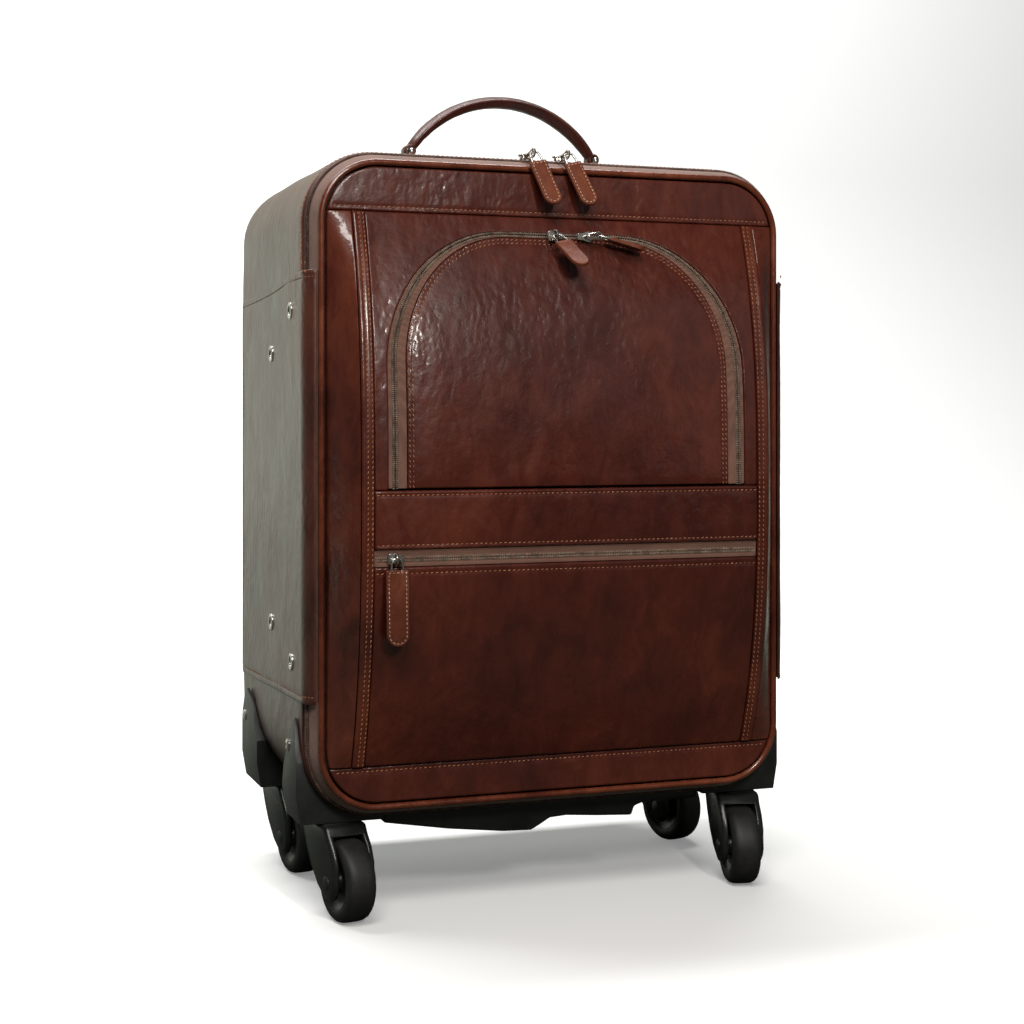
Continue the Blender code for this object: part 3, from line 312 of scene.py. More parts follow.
def case_outline(out, steps=14, run=0.012):
    """The case's rounded rectangle as (x, z) pairs, `out` outside the lid's groove."""
    radius = LID_CORNER + out
    centre_x = LID_HALF - LID_CORNER
    low_z, high_z = LID_BOTTOM + LID_CORNER, LID_TOP - LID_CORNER
    corners = []
    for sign_x, centre_z, start in ((1, low_z, -90), (1, high_z, 0), (-1, high_z, 90), (-1, low_z, 180)):
        turns = [math.radians(start + 90 * step / steps) for step in range(steps + 1)]
        corners.append([(sign_x * centre_x + radius * math.cos(turn), centre_z + radius * math.sin(turn))
                        for turn in turns])
    points = []
    for corner, following in zip(corners, corners[1:] + corners[:1]):
        points += corner
        (ax, az), (bx, bz) = corner[-1], following[0]
        count = round((LID_TOP - LID_BOTTOM if ax == bx or abs(ax - bx) < 1e-6 else 2 * LID_HALF) / run)
        points += [(ax + (bx - ax) * step / count, az + (bz - az) * step / count) for step in range(1, count)]
    return points


def case_loft(name, stations, materials, around=False, wave=0.0, angle=50):
    """A solid through case outlines, each a pair of depth and distance outside the groove, gently wavy."""
    rings = []
    for depth, out in stations:
        for x, z in case_outline(out):
            lift = 0.0
            if wave:
                fade = min(1.0, max(depth - SHELL_FRONT, 0.0) / 0.02)
                lift = wave * fade * noise.noise(Vector((x * 22, depth * 14, z * 22)))
            scale = 1 + lift / 0.17
            rings.append((x * scale, lid_y + depth, LID_BOTTOM + 0.21 + (z - LID_BOTTOM - 0.21) * scale))
    size = len(case_outline(0.0))
    return closed_mesh(name, rings, ring_faces(len(stations), size, around), materials, angle)


def cut_away(made, low, high):
    """Cut a box out of a piece."""
    corners = [(x, y, z) for z in (low[2], high[2]) for x, y in
               ((low[0], low[1]), (high[0], low[1]), (high[0], high[1]), (low[0], high[1]))]
    cutter = closed_mesh("cutter", corners, ring_faces(2, 4, False), [])
    boolean = made.modifiers.new("slot", "BOOLEAN")
    boolean.operation = "DIFFERENCE"
    boolean.solver = "EXACT"
    boolean.object = cutter
    return bake_modifiers(made, cutter)


def fasten(made, body_name, solid=None):
    """Let a piece move with a body and stand for a CAD solid."""
    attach(made, body_name)
    if solid:
        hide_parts(solid)


def bake_modifiers(made, *helpers):
    """Put a piece's modifiers into its mesh, and remove them and what they used."""
    graph = bpy.context.evaluated_depsgraph_get()
    mesh = bpy.data.meshes.new_from_object(made.evaluated_get(graph))
    old = made.data
    made.modifiers.clear()
    made.data = mesh
    bpy.data.meshes.remove(old)
    for helper in helpers:
        bpy.data.objects.remove(helper)
    return made


LEATHER_DARK = (0.042, 0.0066, 0.0038)
LEATHER_MIDDLE = (0.080, 0.0125, 0.0062)
LEATHER_LIGHT = (0.135, 0.025, 0.010)
polished_leather = leather_material("polished_leather", LEATHER_DARK, LEATHER_MIDDLE, LEATHER_LIGHT)
side_leather = leather_material("side_leather", (0.040, 0.010, 0.006), (0.085, 0.022, 0.013),
                                (0.14, 0.040, 0.022), 1.25, 0.42, 0.5, 0.28)
lining_cloth = woven_material("lining_cloth", (0.010, 0.008, 0.007), (0.045, 0.036, 0.030), 2600)
FRONT_ROUND = 0.0012
inner_round = REAR_ROUND - SHELL_WALL
rear_turns = [math.radians(90 * step / 8) for step in range(9)]
outside = [(SHELL_FRONT, BODY_OUT - FRONT_ROUND), (SHELL_FRONT + 0.0004, BODY_OUT - 0.0004),
           (SHELL_FRONT + FRONT_ROUND, BODY_OUT)]
outside += [(SHELL_FRONT + 0.012 * step, BODY_OUT) for step in range(1, 16)]
outside += [(SHELL_BACK - REAR_ROUND * (1 - math.sin(turn)), BODY_OUT - REAR_ROUND * (1 - math.cos(turn)))
            for turn in rear_turns]
inside = [(SHELL_BACK - SHELL_WALL - inner_round * (1 - math.sin(turn)),
           BODY_OUT - SHELL_WALL - inner_round * (1 - math.cos(turn))) for turn in rear_turns]
inside = inside[::-1] + [(SHELL_FRONT + 0.06 * step, BODY_OUT - SHELL_WALL) for step in (2, 1, 0)]
body = case_loft("body_leather", inside + outside, [side_leather, lining_cloth], wave=0.0010)
for face in body.data.polygons:
    inward = face.center.y > lid_y + SHELL_FRONT + 0.0002 and (
        abs(face.center.x) < LID_HALF + BODY_OUT - 0.0025 and
        LID_BOTTOM - BODY_OUT + 0.0025 < face.center.z < LID_TOP + BODY_OUT - 0.0025 and
        face.center.y < lid_y + SHELL_BACK - 0.002)
    toward_middle = face.normal.dot(face.center - Vector((0.0, lid_y + 0.1, 0.289))) < 0
    face.material_index = 1 if inward and toward_middle else 0
bezel_low, bezel_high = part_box("trolley_bezel")
FLANGE = 0.0037
cut_away(body, (bezel_low.x + FLANGE, bezel_low.y + FLANGE, shell_high.z - 2 * SHELL_WALL),
         (bezel_high.x - FLANGE, bezel_high.y - FLANGE, shell_high.z + SHELL_WALL))
fasten(body, "case", "body_shell")


# Side wings. A second leather panel laid over each side and over the side run of the zip, its upper and lower
# edges folded into a thin welt, held by rows of waxed thread and four metal eyelets a side.
SIDES = (("left", -1), ("right", 1))
WING_THICK = 0.0016
LIP_BEND = 0.0056
LIP_DEEP = 0.0105
THREAD_PITCH = 0.0033


def spread_out(line, spacing, closed=True):
    """Points along a line or outline of pairs, no further apart than the spacing, its own points among them."""
    ends = line[1:] + line[:1] if closed else line[1:]
    made = []
    for (ax, az), (bx, bz) in zip(line, ends):
        count = max(1, math.ceil(math.hypot(bx - ax, bz - az) / spacing - 0.01))
        made += [(ax + (bx - ax) * step / count, az + (bz - az) * step / count) for step in range(count)]
    return made if closed else made + [line[-1]]


def distance_to(points, line, closed=True):
    """Distance of each point to a line of pairs."""
    line = np.array(line)
    ends = np.roll(line, -1, axis=0) if closed else line[1:]
    best = np.full(len(points), 1.0)
    for start, end in zip(line if closed else line[:-1], ends):
        along = end - start
        share = np.clip((points - start) @ along / max(along @ along, 1e-15), 0, 1)
        best = np.minimum(best, np.hypot(*(points - start - share[:, None] * along).T))
    return best


def within(points, outline):
    """Which points lie inside an outline of pairs."""
    found = np.zeros(len(points), bool)
    for (ax, az), (bx, bz) in zip(outline, outline[1:] + outline[:1]):
        if az == bz:
            continue
        crosses = (points[:, 1] < az) != (points[:, 1] < bz)
        found ^= crosses & (points[:, 0] < ax + (points[:, 1] - az) * (bx - ax) / (bz - az))
    return found


def offset_line(line, by):
    """A line of pairs moved sideways, to its left for a positive distance."""
    line = np.array(line)
    along = np.gradient(line, axis=0)
    along /= np.maximum(np.linalg.norm(along, axis=1), 1e-12)[:, None]
    return line + by * np.stack([-along[:, 1], along[:, 0]], axis=1)


def sewn_panel(name, outline, place, thick, material, relief=None, seams=(), roll=0.0009, spacing=0.0026,
               pull=0.00035):
    """A closed leather sheet on its own (a, b) plane, its front edges rolled over and its seams pulled in.

    place(a, b, height) gives the point at a height above the sheet's back. relief(a, b) is added to its front,
    and each seam is a line of pairs that the thread pulls into the hide.
    """
    rim = spread_out(outline, spacing * 0.8)
    extra = []
    rim_line = np.array(rim + rim[:2])
    for inset in (0.3 * roll, 0.8 * roll, 1.5 * roll):
        for by in (inset, -inset):
            moved = offset_line(rim_line, by)[1:-1]
            moved = moved[within(moved, outline)]
            extra.append(moved[distance_to(moved, rim) > 0.93 * inset])
    for seam in seams:
        row = spread_out(seam, 0.0022, False)
        for by in (-0.0011, 0.0, 0.0011):
            extra.append(offset_line(row, by))
    low, high = np.array(rim).min(axis=0), np.array(rim).max(axis=0)
    across = np.arange(low[0] + spacing / 2, high[0], spacing)
    up = np.arange(low[1] + spacing / 2, high[1], spacing)
    grid = np.stack([part.ravel() for part in np.meshgrid(across, up)], axis=1)
    grid[:, 0] += np.where(np.round((grid[:, 1] - low[1]) / spacing) % 2 == 0, spacing / 4, -spacing / 4)
    grid = grid[distance_to(grid, rim) > 2.3 * roll]
    for seam in seams:
        grid = grid[distance_to(grid, seam, False) > 0.0017]
    loose = np.concatenate(extra + [grid])
    loose = loose[within(loose, outline)]
    loose = loose[distance_to(loose, rim) > 0.22 * roll]
    points = [Vector(point) for point in rim] + [Vector(point) for point in loose]
    edges = [(step, (step + 1) % len(rim)) for step in range(len(rim))]
    flat, _, triangles, *_ = geometry.delaunay_2d_cdt(points, edges, [], 1, 1e-6)
    flat = np.array([tuple(point) for point in flat])
    depth_in = distance_to(flat, rim)
    sunk = roll * (1 - np.sqrt(np.clip(1 - (1 - np.minimum(depth_in / roll, 1)) ** 2, 0, 1)))
    for seam in seams:
        sunk = sunk + pull * np.exp(-((distance_to(flat, seam, False) / 0.0009) ** 2))
    fade = np.clip(depth_in / 0.004, 0, 1)
    front, back = [], []
    for (a, b), down, share in zip(flat, sunk, fade):
        lift = relief(a, b) * share if relief else 0.0
        front.append(place(a, b, thick - down + lift))
        back.append(place(a, b, 0.0))
    total = len(flat)
    directed = {(tri[step], tri[(step + 1) % 3]) for tri in triangles for step in range(3)}
    faces = [tuple(tri) for tri in triangles] + [tuple(total + index for index in reversed(tri))
                                                 for tri in triangles]
    faces += [(end, start, total + start, total + end) for start, end in directed
              if (end, start) not in directed]
    return closed_mesh(name, front + back, faces, [material])


def repeat_tree(name):
    """Node tree that sets a small bead along the lines of a mesh, upright on its `lie`."""
    tree = bpy.data.node_groups.new(name, "GeometryNodeTree")
    face = tree.interface
    face.new_socket("Line", in_out="INPUT", socket_type="NodeSocketGeometry")
    for label, value in (("Pitch", THREAD_PITCH), ("Long", 0.0024), ("Wide", 0.0006), ("High", 0.0005),
                         ("Slant", 0.0)):
        face.new_socket(label, in_out="INPUT", socket_type="NodeSocketFloat").default_value = value
    face.new_socket("Finish", in_out="INPUT", socket_type="NodeSocketMaterial")
    face.new_socket("Row", in_out="OUTPUT", socket_type="NodeSocketGeometry")
    given = tree.nodes.new("NodeGroupInput").outputs
    curve = add_node(tree, "GeometryNodeMeshToCurve", {"Mesh": given["Line"]})
    spaced = add_node(tree, "GeometryNodeResampleCurve", {"Curve": curve.outputs[0], "Length": given["Pitch"]},
                      mode="LENGTH")
    bead = add_node(tree, "GeometryNodeMeshUVSphere", {"Segments": 6, "Rings": 4, "Radius": 0.5})
    size = add_node(tree, "ShaderNodeCombineXYZ", {0: given["Long"], 1: given["Wide"], 2: given["High"]})
    shape = add_node(tree, "GeometryNodeTransform", {"Geometry": bead.outputs[0], "Scale": size.outputs[0]})
    tangent = tree.nodes.new("GeometryNodeInputTangent")
    lie = add_node(tree, "GeometryNodeInputNamedAttribute", {"Name": "lie"}, data_type="FLOAT_VECTOR")
    along = add_node(tree, "FunctionNodeAlignRotationToVector", {"Vector": tangent.outputs[0]}, axis="X")
    upright = add_node(tree, "FunctionNodeAlignRotationToVector",
                       {"Rotation": along.outputs[0], "Vector": lie.outputs[0]}, axis="Z", pivot_axis="X")
    turn = add_node(tree, "FunctionNodeAxisAngleToRotation", {"Axis": (0.0, 0.0, 1.0), "Angle": given["Slant"]})
    slanted = add_node(tree, "FunctionNodeRotateRotation",
                       {"Rotation": upright.outputs[0], "Rotate By": turn.outputs[0]}, rotation_space="LOCAL")
    placed = add_node(tree, "GeometryNodeInstanceOnPoints",
                      {"Points": spaced.outputs[0], "Instance": shape.outputs[0],
                       "Rotation": slanted.outputs[0]})
    real = add_node(tree, "GeometryNodeRealizeInstances", {"Geometry": placed.outputs[0]})
    finished = add_node(tree, "GeometryNodeSetMaterial", {"Geometry": real.outputs[0],
                                                          "Material": given["Finish"]})
    last = add_node(tree, "GeometryNodeSetShadeSmooth", {"Geometry": finished.outputs[0]})
    out = tree.nodes.new("NodeGroupOutput")
    tree.links.new(last.outputs[0], out.inputs[0])
    return tree


row_tree = repeat_tree("bead_rows")


def bead_rows(name, rows, material, pitch=THREAD_PITCH, size=(0.0022, 0.00068, 0.0006), slant=0.25):
    """One mesh of beads along rows, each row a list of points and a list of the directions they stand in."""
    points, edges, lies = [], [], []
    for line, lie in rows:
        start = len(points)
        points += [tuple(point) for point in line]
        lies += [tuple(way) for way in lie]
        edges += [(start + step, start + step + 1) for step in range(len(line) - 1)]
    mesh = bpy.data.meshes.new(name)
    mesh.from_pydata(points, edges, [])
    mesh.attributes.new("lie", "FLOAT_VECTOR", "POINT").data.foreach_set("vector", np.ravel(lies))
    made = bpy.data.objects.new(name, mesh)
    bpy.context.scene.collection.objects.link(made)
    nodes = made.modifiers.new("rows", "NODES")
    nodes.node_group = row_tree
    values = {"Pitch": pitch, "Long": size[0], "Wide": size[1], "High": size[2], "Slant": slant,
              "Finish": material}
    for item in row_tree.interface.items_tree:
        if item.in_out == "INPUT" and item.name in values:
            nodes[item.identifier] = values[item.name]
    return bake_modifiers(made)


def on_surface(line, place, height, spacing=0.004):
    """The points of a flat line on a surface at a height, with the surface's outward direction at each."""
    points, ways = [], []
    small = 0.0004
    for a, b in spread_out(line, spacing, False):
        here = Vector(place(a, b, height))
        side = Vector(place(a + small, b, height)) - Vector(place(a - small, b, height))
        rise = Vector(place(a, b + small, height)) - Vector(place(a, b - small, height))
        way = side.cross(rise).normalized()
        if way.dot(Vector(place(a, b, height + small)) - here) < 0:
            way = -way
        points.append(here)
        ways.append(way)
    return points, ways


def thread_material(name, dark, light):
    """Waxed, twisted polyester thread."""
    material, tree, shader = new_material(name)
    place = object_place(tree)
    soil = add_node(tree, "ShaderNodeTexNoise", {"Vector": place, "Scale": 130.0, "Detail": 3.0})
    tint = shaded(tree, soil.outputs["Fac"], dark, light, 0.35, 0.65)
    strands = add_node(tree, "ShaderNodeTexWave", {"Vector": place, "Scale": 900.0}, bands_direction="DIAGONAL")
    bump = add_node(tree, "ShaderNodeBump", {"Height": strands.outputs["Fac"], "Distance": 0.0001,
                                             "Strength": 0.5})
    tree.links.new(tint.outputs[0], shader.inputs["Base Color"])
    tree.links.new(bump.outputs[0], shader.inputs["Normal"])
    shader.inputs["Roughness"].default_value = 0.6
    return material


def metal_material(name, dark, light, roughness, scale=90.0, metallic=1.0):
    """Plated or brushed metal, a little duller where it is handled."""
    material, tree, shader = new_material(name)
    place = object_place(tree)
    wear = add_node(tree, "ShaderNodeTexNoise", {"Vector": place, "Scale": scale, "Detail": 5.0})
    tint = shaded(tree, wear.outputs["Fac"], dark, light, 0.35, 0.65)
    dull = add_node(tree, "ShaderNodeMapRange", {"Value": wear.outputs["Fac"], "To Min": roughness - 0.06,
                                                 "To Max": roughness + 0.12})
    bump = add_node(tree, "ShaderNodeBump", {"Height": wear.outputs["Fac"], "Distance": 0.0001,
                                             "Strength": 0.3})
    tree.links.new(tint.outputs[0], shader.inputs["Base Color"])
    tree.links.new(dull.outputs[0], shader.inputs["Roughness"])
    tree.links.new(bump.outputs[0], shader.inputs["Normal"])
    shader.inputs["Metallic"].default_value = metallic
    return material


def mirrored(profile):
    """A lathe profile of one end, followed by the same for the other end."""
    return profile + [(-along, radius) for along, radius in reversed(profile)]


def lathe(name, profile, centre, axis, materials, sides=24, angle=40):
    """A closed ring or button turned about an axis, from (along, radius) pairs. A radius of 0 closes a pole."""
    along = Vector(axis).normalized()
    first = along.orthogonal().normalized()
    second = along.cross(first)
    points, rings = [], []
    for offset, radius in profile:
        if radius == 0:
            rings.append([len(points)])
            points.append(Vector(centre) + along * offset)
            continue
        rings.append(list(range(len(points), len(points) + sides)))
        for side in range(sides):
            turn = 2 * math.pi * side / sides
            points.append(Vector(centre) + along * offset +
                          (first * math.cos(turn) + second * math.sin(turn)) * radius)
    faces = []
    pairs = list(zip(rings, rings[1:]))
    if len(rings[0]) > 1 and len(rings[-1]) > 1:
        pairs.append((rings[-1], rings[0]))
    for near, far in pairs:
        for side in range(sides):
            nxt = (side + 1) % sides
            loop = [near[side % len(near)], near[nxt % len(near)], far[nxt % len(far)], far[side % len(far)]]
            faces.append(tuple(dict.fromkeys(loop)))
    return closed_mesh(name, points, faces, materials, angle)


def join_pieces(name, pieces):
    """Several meshes as one piece, their materials kept."""
    with bpy.context.temp_override(active_object=pieces[0], selected_editable_objects=pieces):
        bpy.ops.object.join()
    pieces[0].name = name
    pieces[0].data.name = name
    return pieces[0]


orange_thread = thread_material("orange_thread", (0.34, 0.115, 0.048), (0.58, 0.28, 0.14))
nickel = metal_material("worn_nickel", (0.52, 0.49, 0.45), (0.74, 0.72, 0.68), 0.24)
EYELETS = ((0.044, 0.405), (0.104, 0.378), (0.104, 0.189), (0.041, 0.169))
for side, sign in SIDES:
    wing_low, wing_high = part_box(f"side_wing_{side}")
    inner = wing_high.x if sign < 0 else wing_low.x
    back = wing_high.y - lid_y
    low, high = wing_low.z, wing_high.z

    def wing_place(depth, z, height, inner=inner, sign=sign):
        lip = LIP_BEND * max(0.0, 1 - depth / LIP_DEEP) ** 1.4
        return (inner + sign * (height - lip), lid_y + depth, z)

    top_seam = [(0.001, high - 0.0002), (back * 0.24, high - 0.0008), (back * 0.48, high - 0.0052),
                (back * 0.72, high - 0.0076), (back - 0.001, high - 0.0092)]
    foot_seam = [(0.001, low + 0.0068), (back * 0.4, low + 0.0046), (back - 0.001, low + 0.0006)]
    outline = [(0.0, low + 0.0066), (back * 0.4, low + 0.0042), (back, low + 0.0002), (back, high - 0.0090)]
    outline += [(depth, z) for depth, z in reversed(top_seam[1:-1])] + [(0.0, high)]
    welt_lines = [top_seam, foot_seam]

    def wing_relief(depth, z, welt_lines=welt_lines):
        here = np.array([[depth, z]])
        welt = max(math.exp(-((distance_to(here, line, False)[0] - 0.0016) / 0.0011) ** 2)
                   for line in welt_lines)
        wavy = noise.noise(Vector((sign * 3, depth * 30, z * 24)))
        return 0.0007 * welt + 0.0005 * wavy

    def inset_seam(line, by):
        return [(depth, z + by) for depth, z in line]

    back_seam = [(back - 0.0040, low + 0.006), (back - 0.0040, high - 0.014)]
    sewn = [inset_seam(top_seam, -0.0046), inset_seam(foot_seam, 0.0046), back_seam]
    wing = sewn_panel(f"wing_leather_{side}", outline, wing_place, WING_THICK, side_leather, wing_relief, sewn,
                      spacing=0.0045)
    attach(wing, "case")
    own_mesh(wing)
    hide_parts(f"side_wing_{side}")
    rows = [on_surface(line, wing_place, WING_THICK - 0.0002) for line in sewn]
    for offset in (0.0, 0.0035):
        bar = [(0.006 + offset, high - 0.0015), (0.006 + offset, high + 0.0045)]
        rows.append(on_surface(bar, wing_place, WING_THICK + 0.0004, 0.001))
    stitched = bead_rows(f"wing_stitches_{side}", rows, orange_thread)
    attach(stitched, "case")
    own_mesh(stitched)
    eyelets = []
    for number, (depth, z) in enumerate(EYELETS):
        centre = wing_place(depth, z, WING_THICK)
        profile = [(0.0, 0.0060), (0.0006, 0.0059), (0.0010, 0.0052), (0.0011, 0.0042), (0.0007, 0.0034),
                   (0.0001, 0.0031), (-0.0004, 0.0031), (-0.0008, 0.0060)]
        eyelets.append(lathe(f"eyelet_{number}", profile, centre, (sign, 0, 0), [nickel]))
        pin = [(0.0, 0.0), (0.0, 0.0031), (-0.0004, 0.0031), (-0.0004, 0.0)]
        eyelets.append(lathe(f"eyelet_pin_{number}", pin, centre, (sign, 0, 0), [nickel]))
    fasten(join_pieces(f"eyelets_{side}", eyelets), "case")
wing_top = max(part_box(f"side_wing_{side}")[1].z for side in ("left", "right"))
rim = [Vector((x, lid_y + SHELL_FRONT + 0.0030, z)) for x, z in case_outline(BODY_OUT)]
rim_middle = Vector((0.0, lid_y + SHELL_FRONT + 0.0030, (LID_TOP + LID_BOTTOM) / 2))
rim_ways = []
for index, point in enumerate(rim):
    way = (rim[(index + 1) % len(rim)] - rim[index - 1]).cross(Vector((0.0, 1.0, 0.0))).normalized()
    rim_ways.append(way if way.dot(point - rim_middle) > 0 else -way)
above = [point.z > wing_top for point in rim]
first = next(index for index in range(len(rim)) if above[index] and not above[index - 1])
order = [(first + step) % len(rim) for step in range(sum(above))]
bound = [([rim[index] + rim_ways[index] * 0.0003 for index in order], [rim_ways[index] for index in order])]
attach(bead_rows("body_rim_stitches", bound, orange_thread), "case")


# Main zip. A nylon coil zip goes all the way round the case. Its front tape is sewn under the lid's piping and
# its rear tape under the body's turned edge, so half the coil goes with the lid and half stays with the body.
COIL_OUT = 0.0094
LID_COIL = 0.0106
BODY_COIL = 0.0136


def coil_material(name, dark, light):
    """Smooth nylon monofilament."""
    material, tree, shader = new_material(name)
    place = object_place(tree)
    dye = add_node(tree, "ShaderNodeTexNoise", {"Vector": place, "Scale": 220.0, "Detail": 2.0})
    tint = shaded(tree, dye.outputs["Fac"], dark, light, 0.3, 0.7)
    tree.links.new(tint.outputs[0], shader.inputs["Base Color"])
    shader.inputs["Roughness"].default_value = 0.38
    return material


zip_tape = woven_material("zip_tape_weave", (0.105, 0.048, 0.034), (0.36, 0.20, 0.15), 3200, 0.8)
zip_coil = coil_material("zip_coil_nylon", (0.055, 0.027, 0.020), (0.21, 0.115, 0.085))
pull_leather = leather_material("edge_leather", (0.065, 0.0115, 0.0055), (0.135, 0.028, 0.011),
                                (0.24, 0.060, 0.024), 0.5, 0.26, 0.6, 0.10)


def around_case(depth, out, way_depth=0.0, way_out=1.0):
    """A row of points round the case with the direction in which a bead there stands."""
    points, ways = [], []
    line = case_outline(out)
    count = len(line)
    for index, (x, z) in enumerate(line):
        (ax, az), (bx, bz) = line[index - 1], line[(index + 1) % count]
        outward = Vector((bz - az, 0.0, ax - bx)).normalized()
        points.append(Vector((x, lid_y + depth, z)))
        ways.append(outward * way_out + Vector((0.0, way_depth, 0.0)))
    return points + points[:1], ways + ways[:1]


piping_turns = [math.radians(30 * side) for side in range(12)]
piping = case_loft("piping_leather", [(0.0022 * math.cos(turn), 0.0027 + 0.0022 * math.sin(turn))
                                      for turn in piping_turns], [pull_leather], True)
fasten(piping, "lid", "lid_piping")
lid_tape = case_loft("lid_tape", [(0.0012, 0.0046), (0.0048, 0.0066), (0.0092, 0.0086), (0.0110, 0.0086),
                                  (0.0110, 0.0080), (0.0094, 0.0080), (0.0048, 0.0060), (0.0014, 0.0040)],
                     [zip_tape], True)
fasten(lid_tape, "lid", "lid_zip_tape")
body_tape = case_loft("body_tape", [(0.0131, 0.0086), (0.0150, 0.0090), (SHELL_FRONT - 0.0003, 0.0100),
                                    (SHELL_FRONT - 0.0003, 0.0093), (0.0150, 0.0083), (0.0131, 0.0080)],
                      [zip_tape], True)
fasten(body_tape, "case", "body_zip_tape")
TOOTH = (0.00085, 0.0029, 0.0024)
for name, body_name, depth in (("lid_coil", "lid", LID_COIL), ("body_coil", "case", BODY_COIL)):
    coil = bead_rows(name, [around_case(depth, COIL_OUT)], zip_coil, 0.00125, TOOTH, 0.12)
    fasten(coil, body_name)


# Lid board. A stiff board covered with lining cloth at the back and glued to the leather bands at the front.
# It carries everything on the lid, and the leather panels are sewn to one another over it.
board_thick = board_high.y - board_low.y


def board_place(x, z, height):
    return (x, board_high.y - height, z)


board = sewn_panel("lid_board_cloth", case_outline(-SEAM), board_place, board_thick, lining_cloth,
                   roll=0.0012, spacing=0.012)
fasten(board, "lid", "lid_board")


# Top and bottom bands. Flat leather strips that close the lid above and below the raised pockets. Their inner
# edge is turned under and stitched down a few millimetres from the fold.
PANEL_BASE = 0.0035
PILLOW = 0.026
PILLOW_POWER = 2.6
SKIN = 0.0016
panel_low, panel_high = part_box("lower_pocket_panel")[0].z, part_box("upper_panel")[1].z
PILLOW_MID = (panel_low + panel_high) / 2
PILLOW_HALF = (panel_high - panel_low) / 2
LIFT = 0.0003


def pillow(z):
    """How far the pocket stack is puffed out at a height."""
    reach = min(abs(z - PILLOW_MID) / PILLOW_HALF, 1.0)
    return PILLOW * (1.0 - reach**PILLOW_POWER)


def creased(x, z, seed, height=0.0004):
    """Shallow dents and drawn-out folds of a hide that is only held at its edges."""
    swell = noise.noise(Vector((x * 26, seed, z * 20)))
    warp = 0.5 * noise.noise(Vector((x * 60, seed + 3, z * 60)))
    fold = abs(noise.noise(Vector((x * 105 + warp, seed + 5, z * 48 + warp))))
    patch = max(0.0, noise.noise(Vector((x * 17, seed + 9, z * 13))) + 0.15)
    return height * (swell - 1.1 * patch * (1 - min(fold * 4, 1.0)))


def oblong(left, right, low, high):
    return [(left, low), (right, low), (right, high), (left, high)]


def flat_lid_place(node):
    """place() of a flat strip of the lid, from its CAD solid's own back."""
    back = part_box(node)[1].y

    def place(x, z, height):
        return (x, back - height, z)
    return place


def lid_corner_line(z_from, z_to, inset):
    """The right half of the lid's outline between two heights, upwards."""
    points = []
    for x, z in case_outline(-inset, 14, 0.02):
        if x > 0 and z_from <= z <= z_to:
            points.append((x, z))
    return points


for name, node in (("top", "top_band"), ("bottom", "bottom_band")):
    low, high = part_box(node)
    place = flat_lid_place(node)
    thick = high.y - low.y
    right = lid_corner_line(low.z + 0.0001, high.z - 0.0001, 0.0006)
    if name == "top":
        right = [(LID_HALF - 0.0010, low.z)] + right + [(LID_HALF - LID_CORNER, high.z)]
        seam_z = low.z + 0.0030
        span = LID_HALF - 0.006
    else:
        right = [(LID_HALF - LID_CORNER, low.z)] + right + [(LID_HALF - 0.0028, high.z)]
        seam_z = high.z - 0.0030
        span = LID_HALF - 0.008
    outline = right + [(-x, z) for x, z in reversed(right)]
    seam = [(-span, seam_z), (span, seam_z)]
    seed = 3.0 if name == "top" else 8.0

    def band_relief(x, z, seed=seed):
        return creased(x, z, seed, 0.00035)

    band = sewn_panel(f"{name}_band_leather", outline, place, thick, polished_leather, band_relief, [seam],
                      roll=0.0011)
    fasten(band, "lid", node)
    stitched = bead_rows(f"{name}_band_stitches", [on_surface(seam, place, thick - LIFT)], orange_thread)
    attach(stitched, "lid")


# Pocket stack. Glossy gussets, folded strips and panels sewn into one puffed-out front over a thin foam: the
# gussets bring it down to the lid's edge, and the folded strips cover the seam where they meet the panels.
def stack_place(thick, proud=0.0, sign=1.0):
    """place() on the puffed front, for a sheet of some thickness whose face stands `proud` of the panels."""
    def place(x, z, height):
        return (sign * x, lid_y - PANEL_BASE - proud - pillow(z) + thick - height, z)
    return place


def lid_half_at(z, inset):
    """Half width of the lid at a height, `inset` inside its groove."""
    radius = LID_CORNER - inset
    over = max(LID_BOTTOM + LID_CORNER - z, z - LID_TOP + LID_CORNER, 0.0)
    return LID_HALF - LID_CORNER + math.sqrt(max(radius**2 - over**2, 0.0))


def straight(low, high, at, upright=True):
    """A straight seam, upright at an x or level at a z."""
    return [(at, low), (at, high)] if upright else [(low, at), (high, at)]


